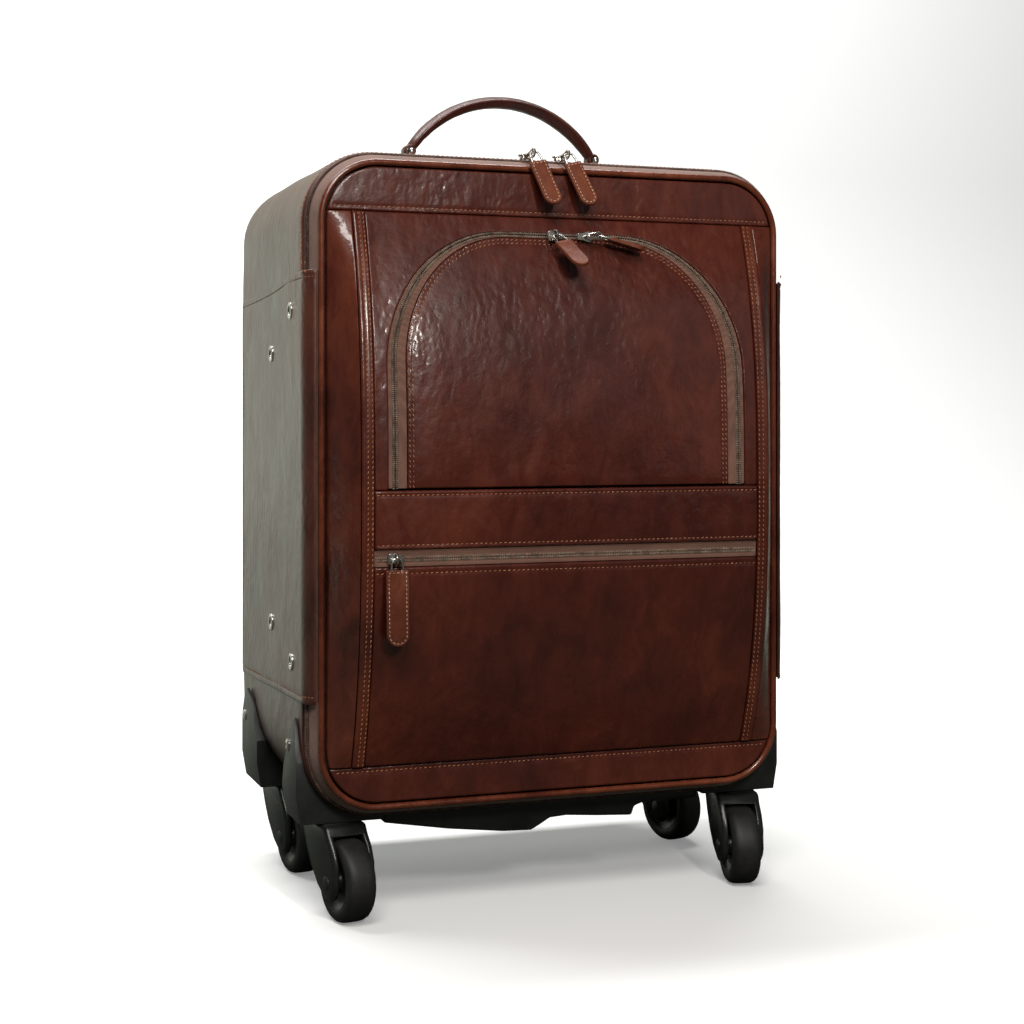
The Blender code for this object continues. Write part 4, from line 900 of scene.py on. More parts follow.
gusset_leather = leather_material("gusset_leather", (0.040, 0.007, 0.004), (0.105, 0.020, 0.010),
                                  (0.19, 0.045, 0.020), 1.2, 0.28, 0.8, 0.10)
strip_leather = leather_material("strip_leather", (0.042, 0.0072, 0.0040), (0.100, 0.0185, 0.0085),
                                 (0.18, 0.042, 0.017), 0.7, 0.30, 0.55, 0.14)
GUSSET_THICK = 0.0032
for side, sign in SIDES:
    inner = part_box(f"side_gusset_{side}")
    inner = min(abs(inner[0].x), abs(inner[1].x))

    def gusset_place(a, z, height, inner=inner, sign=sign):
        outer = lid_half_at(z, 0.0006)
        share = min(max((a - inner) / (outer - inner), 0.0), 1.0)
        face = -(PANEL_BASE + pillow(z)) * (1 - share) - 0.0020 * share
        bulge = 0.0016 * math.sin(math.pi * share) * min(1.0, pillow(z) / 0.006)
        return (sign * a, lid_y + face + GUSSET_THICK - height - bulge, z)

    def gusset_relief(a, z, sign=sign):
        ripple = noise.noise(Vector((a * 30, sign * 7, z * 34)))
        fold = 1 - min(1.0, abs(noise.noise(Vector((a * 40, sign * 11, z * 95)))) * 3.2)
        patch = max(0.0, noise.noise(Vector((1.0, sign * 5, z * 12))))
        return 0.0006 * ripple - 0.0008 * fold * patch

    heights = [panel_low + (panel_high - panel_low) * step / 40 for step in range(41)]
    outline = [(inner, z) for z in reversed(heights)] + [(lid_half_at(z, 0.0006), z) for z in heights]
    gusset = sewn_panel(f"gusset_leather_{side}", outline, gusset_place, GUSSET_THICK, gusset_leather,
                        gusset_relief, roll=0.0008, spacing=0.0024)
    fasten(gusset, "lid", f"side_gusset_{side}")

    low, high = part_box(f"fold_strip_{side}")
    near, far = sorted((abs(low.x), abs(high.x)))
    strip_place = stack_place(0.0026, 0.001, sign)

    def strip_relief(a, z, far=far):
        rolled = 0.0007 * math.exp(-(((a - far + 0.0013) / 0.0010) ** 2))
        return rolled + 0.0002 * noise.noise(Vector((a * 60, 21.0, z * 45)))

    seams = [straight(panel_low + 0.0015, panel_high - 0.0015, at) for at in (near + 0.0011, near + 0.0042)]
    outline = oblong(near, far, panel_low, panel_high)
    strip = sewn_panel(f"strip_leather_{side}", outline, strip_place, 0.0026, strip_leather, strip_relief, seams,
                       roll=0.0008, spacing=0.0022)
    fasten(strip, "lid", f"fold_strip_{side}")
    rows = [on_surface(seam, strip_place, 0.0026 - LIFT) for seam in seams]
    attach(bead_rows(f"strip_stitches_{side}", rows, orange_thread, slant=0.3 * sign), "lid")


# Upper panel. The back wall's front sheet, cut out in an arch for the pocket mouth, one edge of the arched zip
# glued behind it.
def arch_edge(half, top, wide, tall, low, by=0.0, steps=16):
    """An arched line from its left foot over the top to its right foot, moved outwards by a distance."""
    spring = top - tall
    points = [(-half - by, low)]
    for step in range(steps + 1):
        turn = math.radians(90 * step / steps)
        points.append((-(half - wide) - (wide + by) * math.cos(turn), spring + (tall + by) * math.sin(turn)))
    return points + [(-x, z) for x, z in reversed(points)]


flap_low, flap_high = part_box("pocket_flap")
FLAP = (flap_high.x, flap_high.z, 0.075, 0.085)
COIL_LINE = (flap_high.x + 0.0082, flap_high.z + 0.0022, 0.081, 0.089)
OPENING = (flap_high.x + 0.0128, flap_high.z + 0.0038, 0.085, 0.092)
upper_low, upper_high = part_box("upper_panel")
panel_place = stack_place(SKIN)
mouth = arch_edge(*OPENING, upper_low.z)
outline = [(upper_high.x, upper_low.z), (upper_high.x, upper_high.z), (upper_low.x, upper_high.z),
           (upper_low.x, upper_low.z)] + mouth


def upper_relief(x, z):
    return creased(x, z, 1.0, 0.00055)


upper = sewn_panel("upper_panel_leather", outline, panel_place, SKIN, polished_leather, upper_relief)
fasten(upper, "lid", "upper_panel")


# Lower pocket. A flat leather panel below a straight zip, and a band above it, their edges turned in beside the
# zip and stitched. The chain of the zip is sewn to both.
lower_low, lower_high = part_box("lower_pocket_panel")
mid_low, mid_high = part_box("mid_band")
chain_low, chain_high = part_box("lower_zip_chain")


def lower_relief(x, z):
    return creased(x, z, 5.0, 0.00045)


def mid_relief(x, z):
    return creased(x, z, 12.0, 0.0004) + 0.0003 * math.exp(-(((mid_high.z - z - 0.0012) / 0.0011) ** 2))


half = lower_high.x
level = half - 0.002
seam = straight(-level, level, lower_high.z - 0.0042, False)
outline = oblong(-half, half, lower_low.z, lower_high.z)
lower = sewn_panel("lower_panel_leather", outline, panel_place, SKIN, polished_leather, lower_relief, [seam],
                   roll=0.0012)
fasten(lower, "lid", "lower_pocket_panel")
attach(bead_rows("lower_panel_stitches", [on_surface(seam, panel_place, SKIN - LIFT)], orange_thread), "lid")
band_place = stack_place(0.0026, 0.001)
seams = [straight(-level, level, mid_high.z - 0.0030, False), straight(-level, level, mid_low.z + 0.0026, False)]
outline = oblong(-half, half, mid_low.z, mid_high.z)
band = sewn_panel("mid_band_leather", outline, band_place, 0.0026, polished_leather, mid_relief, seams,
                  roll=0.0012)
fasten(band, "lid", "mid_band")
rows = [on_surface(seam, band_place, 0.0026 - LIFT) for seam in seams]
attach(bead_rows("mid_band_stitches", rows, orange_thread), "lid")
SLOT_SUNK = 0.0012
chain_place = stack_place(SKIN, -SLOT_SUNK)
chain_z = (chain_low.z + chain_high.z) / 2 - 0.0008
outline = oblong(-half, half, chain_low.z, chain_high.z)


def chain_relief(x, z):
    return -0.0009 * math.exp(-(((z - chain_z) / 0.0019) ** 2))


grey_tape = woven_material("pocket_tape_weave", (0.110, 0.046, 0.030), (0.33, 0.165, 0.115), 3200, 0.85)
grey_coil = coil_material("pocket_coil_nylon", (0.090, 0.072, 0.055), (0.34, 0.28, 0.21))
chain = sewn_panel("lower_zip_tape", outline, chain_place, SKIN, grey_tape, chain_relief, roll=0.0003)
fasten(chain, "lid", "lower_zip_chain")
rows = [on_surface(straight(-half + 0.001, half - 0.001, chain_z + shift, False), chain_place, SKIN - 0.0004)
        for shift in (-0.00095, 0.00095)]
coil = bead_rows("lower_zip_coil", rows, grey_coil, 0.00125, (0.00085, 0.0021, 0.0012), 0.12)
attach(coil, "lid")


# Pocket flap. A lightly padded leather panel that falls forward about its lower edge when the arched zip is
# open. Two close rows of stitches follow its turned edge.
def flap_relief(x, z):
    edge = distance_to(np.array([[x, z]]), flap_line, False)[0]
    padded = 0.0008 * min(1.0, edge / 0.02)
    return padded + creased(x, z, 16.0, 0.00062)


flap_line = arch_edge(*FLAP, flap_low.z)
inner_seams = [arch_edge(*FLAP, flap_low.z + 0.001, -0.0016), arch_edge(*FLAP, flap_low.z + 0.001, -0.0040)]
flap = sewn_panel("flap_leather", flap_line, panel_place, SKIN, polished_leather, flap_relief, inner_seams,
                  roll=0.0009, spacing=0.0024)
fasten(flap, "flap", "pocket_flap")
rows = [on_surface(seam, panel_place, SKIN - LIFT, 0.002) for seam in inner_seams]
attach(bead_rows("flap_stitches", rows, orange_thread, slant=0.5), "flap")


# Arched zip. Its inner tape is sewn under the flap's edge and its outer tape under the panel's opening. The coil
# is closed all the way, with both sliders at the top.
TAPE_SUNK = 0.0010
tape_place = stack_place(SKIN, -TAPE_SUNK)


def arch_strip(inner, inner_by, outer, outer_by, low):
    return arch_edge(*outer, low, outer_by) + arch_edge(*inner, low, inner_by)[::-1]


tape_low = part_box("flap_zip_inner")[0].z
for name, node, body_name, lines, coil_by in (
    ("arch_tape_inner", "flap_zip_inner", "flap", (FLAP, 0.0003, COIL_LINE, -0.0003), -0.00105),
    ("arch_tape_outer", "flap_zip_outer", "lid", (COIL_LINE, 0.0003, OPENING, -0.0003), 0.00105),
):
    def tape_relief(x, z):
        near = distance_to(np.array([[x, z]]), coil_line, False)[0]
        return 0.0004 * math.exp(-((near / 0.0045) ** 4)) - 0.0011 * math.exp(-((near / 0.0019) ** 4))

    coil_line = arch_edge(*COIL_LINE, tape_low)
    tape = sewn_panel(name, arch_strip(*lines, tape_low), tape_place, SKIN, grey_tape, tape_relief, roll=0.0003,
                      spacing=0.0018)
    fasten(tape, body_name, node)
    row = on_surface(arch_edge(*COIL_LINE, tape_low, coil_by), tape_place, SKIN + 0.0002, 0.002)
    coil = bead_rows(f"{name}_coil", [row], grey_coil, 0.00125, (0.00085, 0.0022, 0.0012), 0.12)
    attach(coil, body_name)


# Zip sliders. Die-cast and nickel plated: two plates joined at the nose by a wedge, with a bridge on top that the
# pull's wire goes through. The main pair runs on the case's top, the arch pair and the lower one on the front.
joints = {joint["name"]: joint for joint in frame["joints"]}
SLIDER_LONG, SLIDER_WIDE, SLIDER_THICK = 0.011, 0.0075, 0.0036


def rounded_line(corners, radius, steps=5, closed=True):
    """A line of points with its corners rounded off."""
    corners = [Vector(corner) for corner in corners]
    made = []
    count = len(corners)
    for index, corner in enumerate(corners):
        if not closed and index in (0, count - 1):
            made.append(corner)
            continue
        before, after = corners[index - 1] - corner, corners[(index + 1) % count] - corner
        reach = min(radius, before.length * 0.45, after.length * 0.45)
        start, end = corner + before.normalized() * reach, corner + after.normalized() * reach
        for step in range(steps + 1):
            share = step / steps
            made.append(start * (1 - share) ** 2 + corner * 2 * share * (1 - share) + end * share**2)
    return made


def directions(line, closed=False):
    """Each point of a line with the way it runs there."""
    last = len(line) - 1
    for index, point in enumerate(line):
        before = line[index - 1] if closed else line[max(index - 1, 0)]
        after = line[(index + 1) % len(line)] if closed else line[min(index + 1, last)]
        yield point, (after - before).normalized()


def wire(name, line, radius, material, closed=True, sides=10, squeeze=1.0):
    """A round wire bent along a line."""
    points = []
    side = None
    for point, along in directions(line, closed):
        if side is None:
            side = along.orthogonal().normalized()
        side = (side - along * side.dot(along)).normalized()
        other = along.cross(side)
        for step in range(sides):
            turn = 2 * math.pi * step / sides
            points.append(point + side * (radius * math.cos(turn)) + other * (radius * squeeze * math.sin(turn)))
    return closed_mesh(name, points, ring_faces(len(line), sides, closed), [material], 60)


def set_in_place(made, matrix):
    """Move a piece's mesh by a matrix and leave its object at the origin."""
    made.data.transform(matrix)
    return made


def shaped_plate(name, outline, low, high, bevel, material, segments=2):
    """A flat plate in the XY plane between two heights, its edges rounded."""
    points = [(x, y, low) for x, y in outline] + [(x, y, high) for x, y in outline]
    made = closed_mesh(name, points, ring_faces(2, len(outline), False), [material], 40)
    rounding = made.modifiers.new("rounding", "BEVEL")
    rounding.width = bevel
    rounding.segments = segments
    rounding.limit_method = "ANGLE"
    rounding.angle_limit = math.radians(35)
    return bake_modifiers(made)


def slider_outline(scale=1.0):
    """The slider's plate: broad shoulders at the nose and a narrower tail."""
    half, wide = SLIDER_LONG / 2 * scale, SLIDER_WIDE / 2 * scale
    corners = [(-half, -wide * 0.62, 0), (-half * 0.1, -wide * 0.70, 0), (half * 0.45, -wide, 0),
               (half * 0.9, -wide * 0.9, 0), (half, 0, 0), (half * 0.9, wide * 0.9, 0), (half * 0.45, wide, 0),
               (-half * 0.1, wide * 0.70, 0), (-half, wide * 0.62, 0)]
    return [(point.x, point.y) for point in rounded_line(corners, 0.0015, 3)]


def slider(name, up, nose):
    """A slider at its CAD solid's place: `up` is away from the chain and `nose` is where it leads."""
    low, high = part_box(name)
    up, nose = Vector(up), Vector(nose)
    if up.z:
        centre = Vector(((low.x + high.x) / 2, lid_y + (LID_COIL + BODY_COIL) / 2, low.z))
    else:
        centre = Vector((low.x + SLIDER_LONG / 2, high.y, (low.z + high.z) / 2))
    plate = shaped_plate(f"{name}_plate", slider_outline(), SLIDER_THICK - 0.0014, SLIDER_THICK - 0.0002, 0.0004,
                         nickel)
    wedge = shaped_plate(f"{name}_wedge", slider_outline(0.80), 0.0002, SLIDER_THICK - 0.0010, 0.0002, nickel, 1)
    frame_matrix = Matrix((nose, up.cross(nose), up)).transposed().to_4x4()
    frame_matrix.translation = centre
    pieces = [set_in_place(plate, frame_matrix), set_in_place(wedge, frame_matrix)]
    return pieces


MAIN_PULL_SIZE, ARCH_PULL_SIZE = (0.0125, 0.041), (0.0125, 0.034)
TWISTED_PULL_SIZE, LOWER_PULL_SIZE = (0.0115, 0.034), (0.0150, 0.056)
PULL_WINDOW = 0.0072
pale_thread = thread_material("pale_thread", (0.50, 0.30, 0.19), (0.76, 0.56, 0.40))
tan_leather = leather_material("tan_pull_leather", (0.085, 0.0165, 0.0065), (0.155, 0.034, 0.012),
                               (0.23, 0.062, 0.023), 0.6, 0.48, 0.12, 0.3)
glazed_leather = leather_material("glazed_pull_leather", (0.06, 0.013, 0.007), (0.14, 0.034, 0.016),
                                  (0.26, 0.085, 0.045), 0.9, 0.24, 0.9, 0.07)


def tab_outline(wide, long, inset=0.0, top=PULL_WINDOW):
    """The pull's leather tab in its own plane, hanging from the bar at zero, with a round lower end."""
    radius = wide / 2 - inset
    centre = long - wide / 2
    points = [(radius, -top - inset)]
    points += [(radius * math.cos(math.radians(turn)), -centre + radius * math.sin(math.radians(turn)))
               for turn in range(0, -181, -15)]
    return points + [(-radius, -top - inset)]


def pull(name, node, size, turn, leather, border=True):
    """A leather tab folded over a nickel wire ring, which hangs in the slider's bridge."""
    pivot = Vector(joints[f"{node}_hinge"]["pos_m"])
    matrix = Matrix.Translation(pivot) @ turn.to_4x4()
    wide, long = size
    neck = 0.0042
    loop = rounded_line([(-0.0030, 0, 0.0), (0.0030, 0, 0.0), (neck, 0, -PULL_WINDOW - 0.0012),
                         (-neck, 0, -PULL_WINDOW - 0.0012)], 0.0022, 4)
    ring = wire(f"{name}_ring", [Vector(point) for point in loop], 0.0008, nickel)
    set_in_place(ring, matrix)
    outline = tab_outline(wide, long)

    def tab_place(a, b, height):
        return (a, 0.0011 - height, b)

    seams = [tab_outline(wide, long, 0.0017)] if border else []
    if border:
        seams[0].append(seams[0][0])

    def tab_relief(a, b):
        fold = 0.0006 * math.exp(-(((b + PULL_WINDOW + 0.001) / 0.0022) ** 2))
        return fold + 0.0002 * noise.noise(Vector((a * 140, 31.0, b * 110)))

    tab = sewn_panel(f"{name}_tab", outline, tab_place, 0.0022, leather, tab_relief, seams, roll=0.0006,
                     spacing=0.0010, pull=0.00018)
    set_in_place(tab, matrix)
    pieces = [tab, ring]
    if border:
        rows = [on_surface(seam, tab_place, 0.0022, 0.0015) for seam in seams]
        thread = bead_rows(f"{name}_thread", rows, pale_thread, 0.0027, (0.0021, 0.00066, 0.00055), 0.1)
        set_in_place(thread, matrix)
        pieces.append(thread)
    fasten(join_pieces(name, pieces), node, node)


def hanging_turn(tilt, lean):
    return Matrix.Rotation(math.radians(-tilt), 3, "X") @ Matrix.Rotation(math.radians(-lean), 3, "Y")


for name, up, nose in (
    ("main_slider_left", (0, 0, 1), (-1, 0, 0)), ("main_slider_right", (0, 0, 1), (1, 0, 0)),
    ("arch_slider_left", (0, -1, 0), (-1, 0, 0)), ("arch_slider_right", (0, -1, 0), (1, 0, 0)),
    ("lower_slider", (0, -1, 0), (-1, 0, 0)),
):
    pieces = slider(name, up, nose)
    pivot = Vector(joints[name.replace("slider", "pull") + "_hinge"]["pos_m"])
    low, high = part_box(name)
    if name.startswith("main"):
        foot = Vector((pivot.x, high.y - SLIDER_WIDE / 2 - 0.002, low.z + SLIDER_THICK - 0.0008))
        arm = [foot + Vector((0, 0.004, 0)), foot + Vector((0, -0.006, 0.0003)),
               pivot + Vector((0, -0.0012, 0.0024)),
               pivot + Vector((0, -0.0029, 0.0)), pivot + Vector((0, -0.0010, -0.0026)),
               pivot + Vector((0, 0.004, -0.0028)), foot + Vector((0, -0.004, -0.0022))]
        pieces.append(wire(f"{name}_bridge", rounded_line(arm, 0.002, 4, False), 0.0008, nickel, False, 8, 1.7))
    elif name == "arch_slider_right":
        plate_y = high.y - SLIDER_THICK
        root = Vector((low.x + SLIDER_LONG / 2, plate_y + 0.0004, pivot.z))
        arm = [root, root + Vector((0, -0.0052, 0)), pivot + Vector((0.0022, 0.0, -0.0021)),
               pivot + Vector((0.0026, 0.0, 0.0021)), pivot + Vector((-0.0022, 0.0, 0.0024)),
               root + Vector((0.001, -0.004, 0.001))]
        pieces.append(wire(f"{name}_bridge", rounded_line(arm, 0.0016, 4, False), 0.0008, nickel, False, 8))
    else:
        plate_y = high.y - SLIDER_THICK
        out = plate_y - pivot.y
        arm = [Vector((pivot.x, plate_y + 0.0006, pivot.z + 0.0032)),
               Vector((pivot.x, plate_y - out - 0.0024, pivot.z + 0.0026)),
               Vector((pivot.x, plate_y - out - 0.0024, pivot.z - 0.0026)),
               Vector((pivot.x, plate_y + 0.0006, pivot.z - 0.0032))]
        pieces.append(wire(f"{name}_bridge", rounded_line(arm, 0.0022, 5, False), 0.0008, nickel, False, 8, 1.6))
    fasten(join_pieces(f"{name}_metal", pieces), name, name)

on_edge = Matrix.Rotation(math.radians(-76), 3, "Y") @ Matrix.Rotation(math.radians(90), 3, "Z")
pull("main_pull_tab_left", "main_pull_left", MAIN_PULL_SIZE, hanging_turn(24, 14), tan_leather)
pull("main_pull_tab_right", "main_pull_right", MAIN_PULL_SIZE, hanging_turn(24, 16), tan_leather)
pull("arch_pull_tab_left", "arch_pull_left", ARCH_PULL_SIZE, hanging_turn(48, 18), tan_leather, False)
pull("arch_pull_tab_right", "arch_pull_right", TWISTED_PULL_SIZE, on_edge, tan_leather, False)
pull("lower_pull_tab", "lower_pull", LOWER_PULL_SIZE, hanging_turn(3, 0), glazed_leather)


# Carry handle. Hide rolled round a cord core, with a flat edge on either side. Its ends narrow into loops round
# two nickel rings, which swing in staples riveted to the case's top.
ring_low, ring_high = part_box("handle_ring_right")
handle_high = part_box("carry_handle")[1]
SWING = Vector(joints["carry_handle_swing"]["pos_m"])
RING_WIRE = ring_high.x - ring_low.x
HANDLE_SPAN = (ring_low.x + ring_high.x) / 2
EYE_Z = ring_high.z - RING_WIRE / 2
STRAP_WIDE, STRAP_THICK = 0.0100, 0.0085
EDGE_THICK = 0.0030
rise = handle_high.z - STRAP_THICK / 2 - EYE_Z
sweep = (HANDLE_SPAN**2 + rise**2) / (2 * rise)
spread = math.asin(HANDLE_SPAN / sweep)
EYE_R = 0.0044
STAPLE_HALF, FOOT_THICK, RIVET_APART = 0.0070, 0.0012, 0.0103
CORE_SHARE = 0.72


def strap_point(along, across, top):
    """A point of the handle: `along` from -1 to 1, `across` its width from -1 to 1, on its top or underside."""
    angle = spread * along
    taper = 1.0 - 0.44 * abs(along) ** 5
    fullness = math.sqrt(max(0.0, 1 - (across / CORE_SHARE) ** 2))
    thick = EDGE_THICK / 2 + (STRAP_THICK - EDGE_THICK) / 2 * fullness * (1.0 - 0.35 * abs(along) ** 6)
    thick *= math.sqrt(max(0.0, 1 - abs(across) ** 10))
    crinkle = 0.00025 * noise.noise(Vector((along * 16, across * 3, 40.0 if top else 44.0)))
    reach = sweep + (thick + crinkle * fullness if top else -thick - crinkle * fullness)
    return Vector((reach * math.sin(angle), SWING.y + across * STRAP_WIDE * taper,
                   EYE_Z + rise - sweep + reach * math.cos(angle)))


handle_hide = leather_material("handle_leather", (0.036, 0.0068, 0.0040), (0.080, 0.0145, 0.0075),
                               (0.150, 0.032, 0.015), 0.8, 0.36, 0.35, 0.2)
ends = 1 - 0.0034 / (sweep * spread)
stations = [ends * (-1 + 2 * step / 72) for step in range(73)]
across_steps = [math.sin(math.radians(-90 + 15 * step)) for step in range(13)]
points = []
for along in stations:
    points += [strap_point(along, across, True) for across in across_steps]
    points += [strap_point(along, across, False) for across in reversed(across_steps[1:-1])]
size = len(across_steps) * 2 - 2
strap = closed_mesh("handle_strap", points, ring_faces(len(stations), size, False), [handle_hide], 60)
eyes = [strap]
for sign in (-1, 1):
    profile = mirrored([(-0.0052, 0.0026), (-0.0052, 0.0040), (-0.0047, EYE_R)])
    eyes.append(lathe(f"handle_eye_{sign}", profile, (sign * HANDLE_SPAN, SWING.y, EYE_Z), (0, 1, 0),
                      [handle_hide], 24))
handle = join_pieces("handle_leather", eyes)
fasten(handle, "carry_handle", "carry_handle")
for side, sign in SIDES:
    x = sign * HANDLE_SPAN
    foot, top = SWING.z - ring_low.z - RING_WIRE / 2, (ring_high.y - ring_low.y) / 2 - RING_WIRE / 2
    corners = [(x, SWING.y - foot, SWING.z - foot), (x, SWING.y + foot, SWING.z - foot),
               (x, SWING.y + top, EYE_Z), (x, SWING.y - top, EYE_Z)]
    ring = wire(f"handle_wire_{side}", rounded_line(corners, 0.0030, 6), RING_WIRE / 2, nickel, sides=14)
    fasten(ring, "carry_handle", f"handle_ring_{side}")
    anchor_low, anchor_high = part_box(f"handle_anchor_{side}")
    staple_foot = anchor_low.z + 0.0004
    corners = [(x - STAPLE_HALF, SWING.y, staple_foot), (x - STAPLE_HALF, SWING.y, SWING.z),
               (x + STAPLE_HALF, SWING.y, SWING.z), (x + STAPLE_HALF, SWING.y, staple_foot)]
    staple = wire(f"staple_{side}", rounded_line(corners, 0.0028, 6, False), 0.0015, nickel, False, 12)
    half_x, half_y = (anchor_high.x - anchor_low.x) / 2, (anchor_high.y - anchor_low.y) / 2
    plate_line = rounded_line([(-half_x, -half_y, 0), (half_x, -half_y, 0), (half_x, half_y, 0),
                               (-half_x, half_y, 0)], 0.005, 6)
    plate = shaped_plate(f"foot_plate_{side}", [(point.x, point.y) for point in plate_line], 0.0, FOOT_THICK,
                         0.0003, nickel)
    set_in_place(plate, Matrix.Translation((x, SWING.y, anchor_low.z)))
    pieces = [staple, plate]
    for shift in (-RIVET_APART, RIVET_APART):
        dome = [(0.0, 0.0), (0.0, 0.0016), (0.0004, 0.0015), (0.0007, 0.0009), (0.0008, 0.0)]
        pieces.append(lathe(f"rivet_{shift}", dome, (x + shift, SWING.y, anchor_low.z + FOOT_THICK), (0, 0, 1),
                            [nickel], 16))
    anchor = join_pieces(f"anchor_metal_{side}", pieces)
    fasten(anchor, "case", f"handle_anchor_{side}")


# Trolley handle. Two telescoping pairs of drawn aluminium tubes rise through a moulded bezel. The grip lies flush
# in the bezel, and its push button lets the tubes go.
def plastic_material(name, dark, light, roughness=0.42, texture=0.00006):
    """Moulded plastic with a fine spark-eroded grain."""
    material, tree, shader = new_material(name)
    place = object_place(tree)
    scuffs = add_node(tree, "ShaderNodeTexNoise", {"Vector": place, "Scale": 45.0, "Detail": 6.0,
                                                   "Roughness": 0.7})
    tint = shaded(tree, scuffs.outputs["Fac"], dark, light, 0.35, 0.7)
    worn = add_node(tree, "ShaderNodeMapRange", {"Value": scuffs.outputs["Fac"], "To Min": roughness - 0.10,
                                                 "To Max": roughness + 0.12})
    grain = add_node(tree, "ShaderNodeTexNoise", {"Vector": place, "Scale": 1800.0, "Detail": 2.0})
    bump = add_node(tree, "ShaderNodeBump", {"Height": grain.outputs["Fac"], "Distance": texture,
                                             "Strength": 0.5})
    tree.links.new(tint.outputs[0], shader.inputs["Base Color"])
    tree.links.new(worn.outputs[0], shader.inputs["Roughness"])
    tree.links.new(bump.outputs[0], shader.inputs["Normal"])
    return material


def brushed_material(name):
    """Drawn and anodised aluminium with fine lines along the tube."""
    material, tree, shader = new_material(name)
    place = object_place(tree)
    drawn = add_node(tree, "ShaderNodeMapping", {"Vector": place, "Scale": (1.0, 1.0, 0.02)})
    lines = add_node(tree, "ShaderNodeTexNoise", {"Vector": drawn.outputs[0], "Scale": 2200.0, "Detail": 3.0})
    tint = shaded(tree, lines.outputs["Fac"], (0.36, 0.37, 0.38), (0.62, 0.63, 0.64))
    bump = add_node(tree, "ShaderNodeBump", {"Height": lines.outputs["Fac"], "Distance": 0.00004,
                                             "Strength": 0.5})
    tree.links.new(tint.outputs[0], shader.inputs["Base Color"])
    tree.links.new(bump.outputs[0], shader.inputs["Normal"])
    shader.inputs["Metallic"].default_value = 1.0
    shader.inputs["Roughness"].default_value = 0.34
    return material


def softened_copy(name, node, body_name, material, rounding, segments=2, angle=35):
    """A CAD solid's shape with its edges rounded off, standing for it."""
    mesh = frame["nodes"][node].data.copy()
    mesh.materials.clear()
    mesh.materials.append(material)
    made = bpy.data.objects.new(name, mesh)
    bpy.context.scene.collection.objects.link(made)
    shell = bmesh.new()
    shell.from_mesh(mesh)
    bmesh.ops.remove_doubles(shell, verts=shell.verts, dist=2e-5)
    bmesh.ops.dissolve_limit(shell, angle_limit=math.radians(1.0), verts=shell.verts, edges=shell.edges)
    shell.to_mesh(mesh)
    shell.free()
    for attribute in ("sharp_edge", "sharp_face", "custom_normal"):
        if attribute in mesh.attributes:
            mesh.attributes.remove(mesh.attributes[attribute])
    edge = made.modifiers.new("rounding", "BEVEL")
    edge.width = rounding
    edge.segments = segments
    edge.limit_method = "ANGLE"
    edge.angle_limit = math.radians(angle)
    edge.use_clamp_overlap = True
    bake_modifiers(made)
    made.data.shade_smooth()
    made.data.set_sharp_from_angle(angle=math.radians(42))
    fasten(made, body_name, node)
    return made


def screw_heads(name, body_name, places, radius=0.0034, finish=None):
    """Domed screw heads, each at a point and facing a way."""
    pieces = []
    for number, (place, way) in enumerate(places):
        dome = [(-0.0004, 0.0), (-0.0004, radius), (0.0004, radius), (0.0010, radius * 0.82),
                (0.0014, radius * 0.45), (0.0009, radius * 0.26), (0.0008, 0.0)]
        pieces.append(lathe(f"{name}_{number}", dome, place, way, [finish or nickel], 20, 30))
    made = join_pieces(name, pieces)
    fasten(made, body_name)
    return made


black_plastic = plastic_material("black_plastic", (0.0085, 0.0090, 0.0085), (0.021, 0.022, 0.021))
brushed_tube = brushed_material("brushed_aluminium")
for side in ("left", "right"):
    for stage, body_name in (("outer", "case"), ("middle", "trolley_middle"), ("upper", "trolley_upper")):
        softened_copy(f"{stage}_tube_metal_{side}", f"{stage}_tube_{side}", body_name, brushed_tube,
                      0.0002, 1, 60)
softened_copy("bezel_plastic", "trolley_bezel", "case", black_plastic, 0.0005)
softened_copy("grip_plastic", "trolley_grip", "trolley_upper", black_plastic, 0.0010, 3)
softened_copy("button_plastic", "release_button", "release_button", black_plastic, 0.0008, 3)
bezel_screws = [((x, y, bezel_high.z), (0, 0, 1)) for x in (bezel_low.x + 0.006, 0.0, bezel_high.x - 0.006)
                for y in (bezel_low.y + 0.0022, bezel_high.y - 0.0022)]
screw_heads("bezel_screws", "case", bezel_screws, 0.0015)


# Inside. A cloth-covered board hides the trolley tubes. In front of it hangs a padded laptop sleeve, bound with
# tape at its mouth, and a strip of webbing hinges the lid to the case's floor.
softened_copy("lining_board_cloth", "lining_board", "case", lining_cloth, 0.0010)
sleeve_low, sleeve_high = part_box("laptop_sleeve")
sleeve_cloth = woven_material("sleeve_cloth", (0.008, 0.009, 0.011), (0.040, 0.043, 0.050), 2000, 0.9, True)


